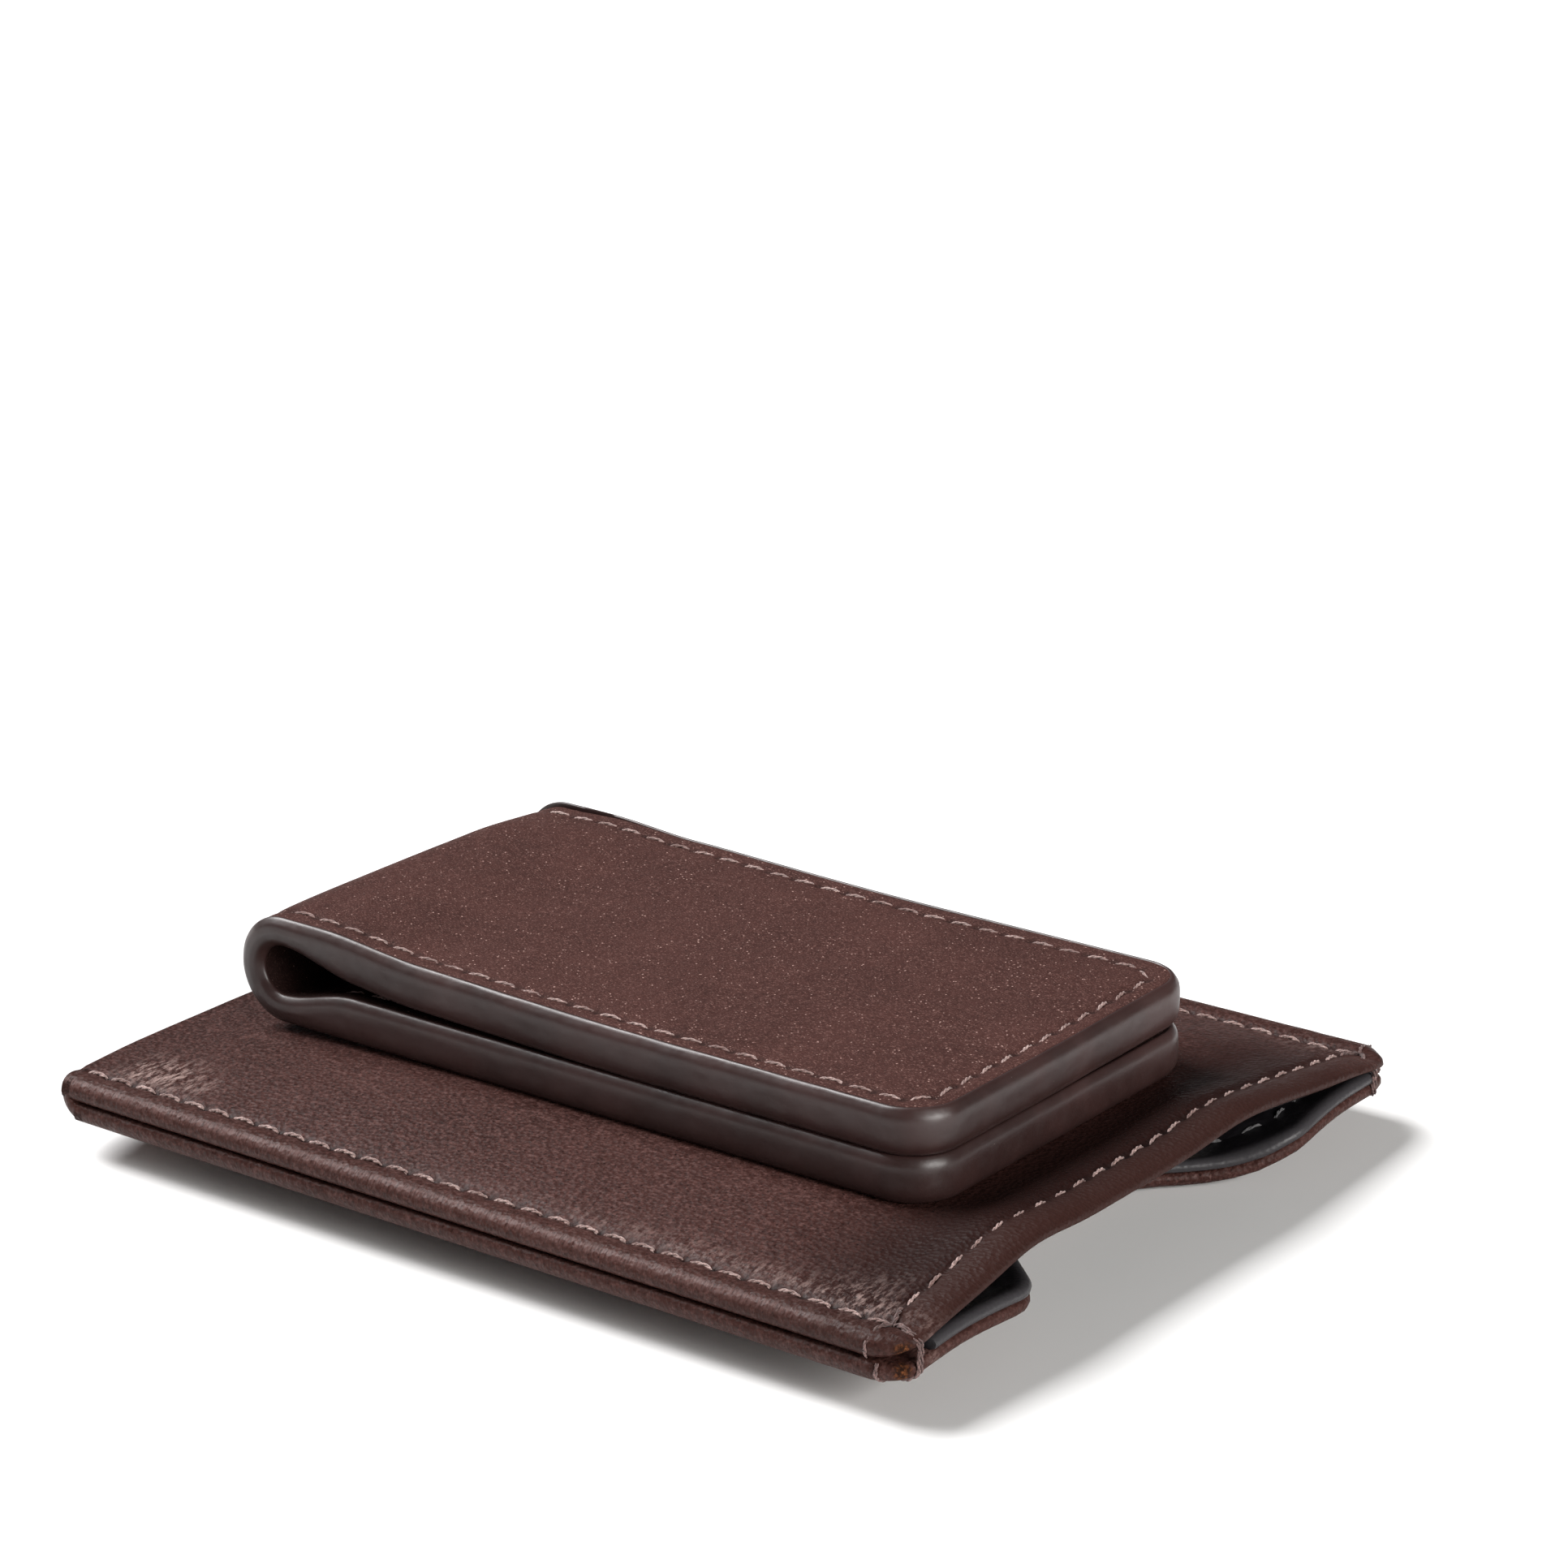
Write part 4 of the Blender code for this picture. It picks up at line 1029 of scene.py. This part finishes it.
def fold_face(name, outer_face, material, node):
    """One leather face of the fold, as a closed sheet."""
    half = CLIP_HALF - FACE_INSET
    ys = np.linspace(-half, half, 101)
    face, hidden, holes = [], [], []
    for q in FOLD_Q:
        t = fold_thickness(q)
        x, z = fold_point(q, 0.0 if outer_face else t)
        xh, zh = fold_point(q, 1.5 if outer_face else t - 1.6)
        bump = hole = rise = np.zeros(len(ys))
        if outer_face:
            rise = crown(x, ys) * float(ease((q - 0.4) / 0.35))
            bump = 0.035 * noise(x, ys, z, 9.0, 21)
        if outer_face and q > 0.6:
            fade = ease((q - 0.6) / 0.2)
            bump, hole = (fade * part for part in clip_relief(np.full(len(ys), x), ys))
        xn, zn = unit(np.array([x - xh, z - zh]))
        face.append(points(x + bump * xn, ys, z + bump * zn + rise))
        hidden.append(points(xh, ys, zh))
        holes.append(hole)
    ob = sheet(name, np.array(face), np.array(hidden), material,
               {"hole": 0.8 * np.array(holes)}, sharp=55.0)
    blend_fold(ob, node)


def fold_coat(name, side, node):
    rings = []
    for q in FOLD_Q:
        quiet = float(ease(min(q, 1 - q) / 0.1))
        ring = []
        for e, d in coat_section(fold_thickness(q)):
            x, z = fold_point(q, d)
            wobble = quiet * float(coat_wobble(x, side * CLIP_HALF, z)) if e < 0.7 else 0.0
            ring.append((x, side * (CLIP_HALF - e - wobble), z))
        rings.append(ring)
    blend_fold(bars(name, [np.array(rings)], PAINT, sharp=62.0), node)


def clip_stitches(name, upper, outer_face, body, node):
    x, y = (CLIP_HOLES if outer_face else CLIP_HOLES[2:-2]).T
    up = 1.0 if outer_face or not upper else -1.0
    if outer_face:
        z = leaf_z(upper, x, 0.0) - 0.16 + crown(x, y)
    else:
        z = leaf_z(upper, x, wall(x)) - up * 0.22
    stitch_row(name, points(x, y, z + tilt(upper, x, y)), up, THREAD, body, node, CLIP_THREAD,
               0.09 if outer_face else 0.02, 17, slant=0.30)


# ---- build the object
finish_piece(leather_shell(), "wallet", "outer_leather")
finish_piece(pocket_lining(), "wallet", "pocket_lining")
for side in (-1, 1):
    for front in (True, False):
        side_seam(front, side)
    corner_tack(side)
for front, outside, word, top in ((True, True, "top", THREAD_TOP),
                                  (True, False, "inner", THREAD_TOP),
                                  (False, True, "outer", 0.02), (False, False, "inner", 0.40)):
    mouth_seam(front, outside, word, top)

for upper, word, body in ((False, "lower_leaf", "wallet"), (True, "upper_leaf", "clip_leaf")):
    leaf_face(word + "_outer_leather", upper, True, NUBUCK if upper else CALF, body, word + "_skin")
    leaf_face(word + "_inner_leather", upper, False, SHADED_NUBUCK, body, word + "_lining")
    leaf_coat(word + "_paint", upper, body, word + "_edge_coat")
    clip_stitches(word + "_inner_stitches", upper, False, body, word + "_inner_thread")
clip_stitches("upper_leaf_top_stitches", True, True, "clip_leaf", "upper_leaf_top_thread")
fold_face("fold_outer_leather", True, NUBUCK, "clip_fold_skin")
fold_face("fold_inner_leather", False, SHADED_NUBUCK, "clip_fold_lining")
fold_coat("fold_paint_near", -1, "clip_fold_edge_near")
fold_coat("fold_paint_far", 1, "clip_fold_edge_far")

# the hidden boards, cores and magnets keep their CAD shapes
for node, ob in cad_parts.items():
    for word, material in (("stiffener", BOARD), ("core", BOARD), ("magnet", MAGNET)):
        if word in node:
            ob.data.materials.clear()
            ob.data.materials.append(material)


# ---- floor, light and camera
def floor():
    """A pale sweep just under the wallet's belly, which would else lie in its plane."""
    size, z = 3.0, -0.00002
    mesh = bpy.data.meshes.new("floor")
    mesh.from_pydata([(x, y, z) for x, y in ((-size, -size), (size, -size), (size, size),
                                             (-size, size))], [], [(0, 1, 2, 3)])
    n = Nodes("white paper sweep")
    base = n.mix(n.ranged(n.noise(40.0, 3.0), 0.3, 0.7), (0.87, 0.868, 0.862), (0.89, 0.888, 0.883))
    mesh.materials.append(n.set(Base_Color=base, Roughness=0.9, Specular_IOR_Level=0.1))
    add_object("floor", mesh)


def look_from(name, data, azimuth, elevation, distance, aim):
    """Put a light or camera at an angle round the aim, in degrees, and turn it to face it."""
    a, e = math.radians(azimuth), math.radians(elevation)
    back = Vector((math.sin(a) * math.cos(e), -math.cos(a) * math.cos(e), math.sin(e)))
    ob = add_object(name, data)
    ob.location = aim + back * distance
    ob.rotation_euler = back.to_track_quat("Z", "Y").to_euler()
    return ob


def studio():
    """A soft box high on the left, a lower one on the right and a little light all round."""
    bpy.context.scene.view_settings.view_transform = "Standard"
    world = bpy.data.worlds.new("studio")
    bpy.context.scene.world = world
    world.use_nodes = True
    background = world.node_tree.nodes["Background"]
    background.inputs["Color"].default_value = (0.98, 0.98, 1.0, 1.0)
    background.inputs["Strength"].default_value = 0.07
    for name, azimuth, elevation, height, power, colour in (
            ("key", -84.0, 50.0, 1.8, 165.0, (1.0, 0.995, 1.0)),
            ("fill", 79.0, 20.0, 1.6, 112.0, (1.0, 0.985, 0.960))):
        data = bpy.data.lights.new(name, "AREA")
        data.shape = "RECTANGLE"
        data.size, data.size_y = 1.7, height
        data.energy = power
        data.color = colour
        look_from(name, data, azimuth, elevation, 3.0, Vector((0, 0, 0.01)))


def camera():
    azimuth, elevation = 36.81, 18.41
    a, e = math.radians(azimuth), math.radians(elevation)
    right = Vector((math.cos(a), math.sin(a), 0.0))
    up = Vector((-math.sin(a) * math.sin(e), math.cos(a) * math.sin(e), math.cos(e)))
    near_corner = Vector((SEAM_START, -SEAM_Y, EDGE_Z + PANEL)) * MM
    data = bpy.data.cameras.new("camera")
    data.sensor_width = 36.0
    data.lens = 102.9
    data.clip_start = 0.01
    data.clip_end = 20.0
    bpy.context.scene.camera = look_from("camera", data, azimuth, elevation, 0.4299,
                                         near_corner + right * 0.06711 + up * 0.02730)


floor()
studio()
camera()
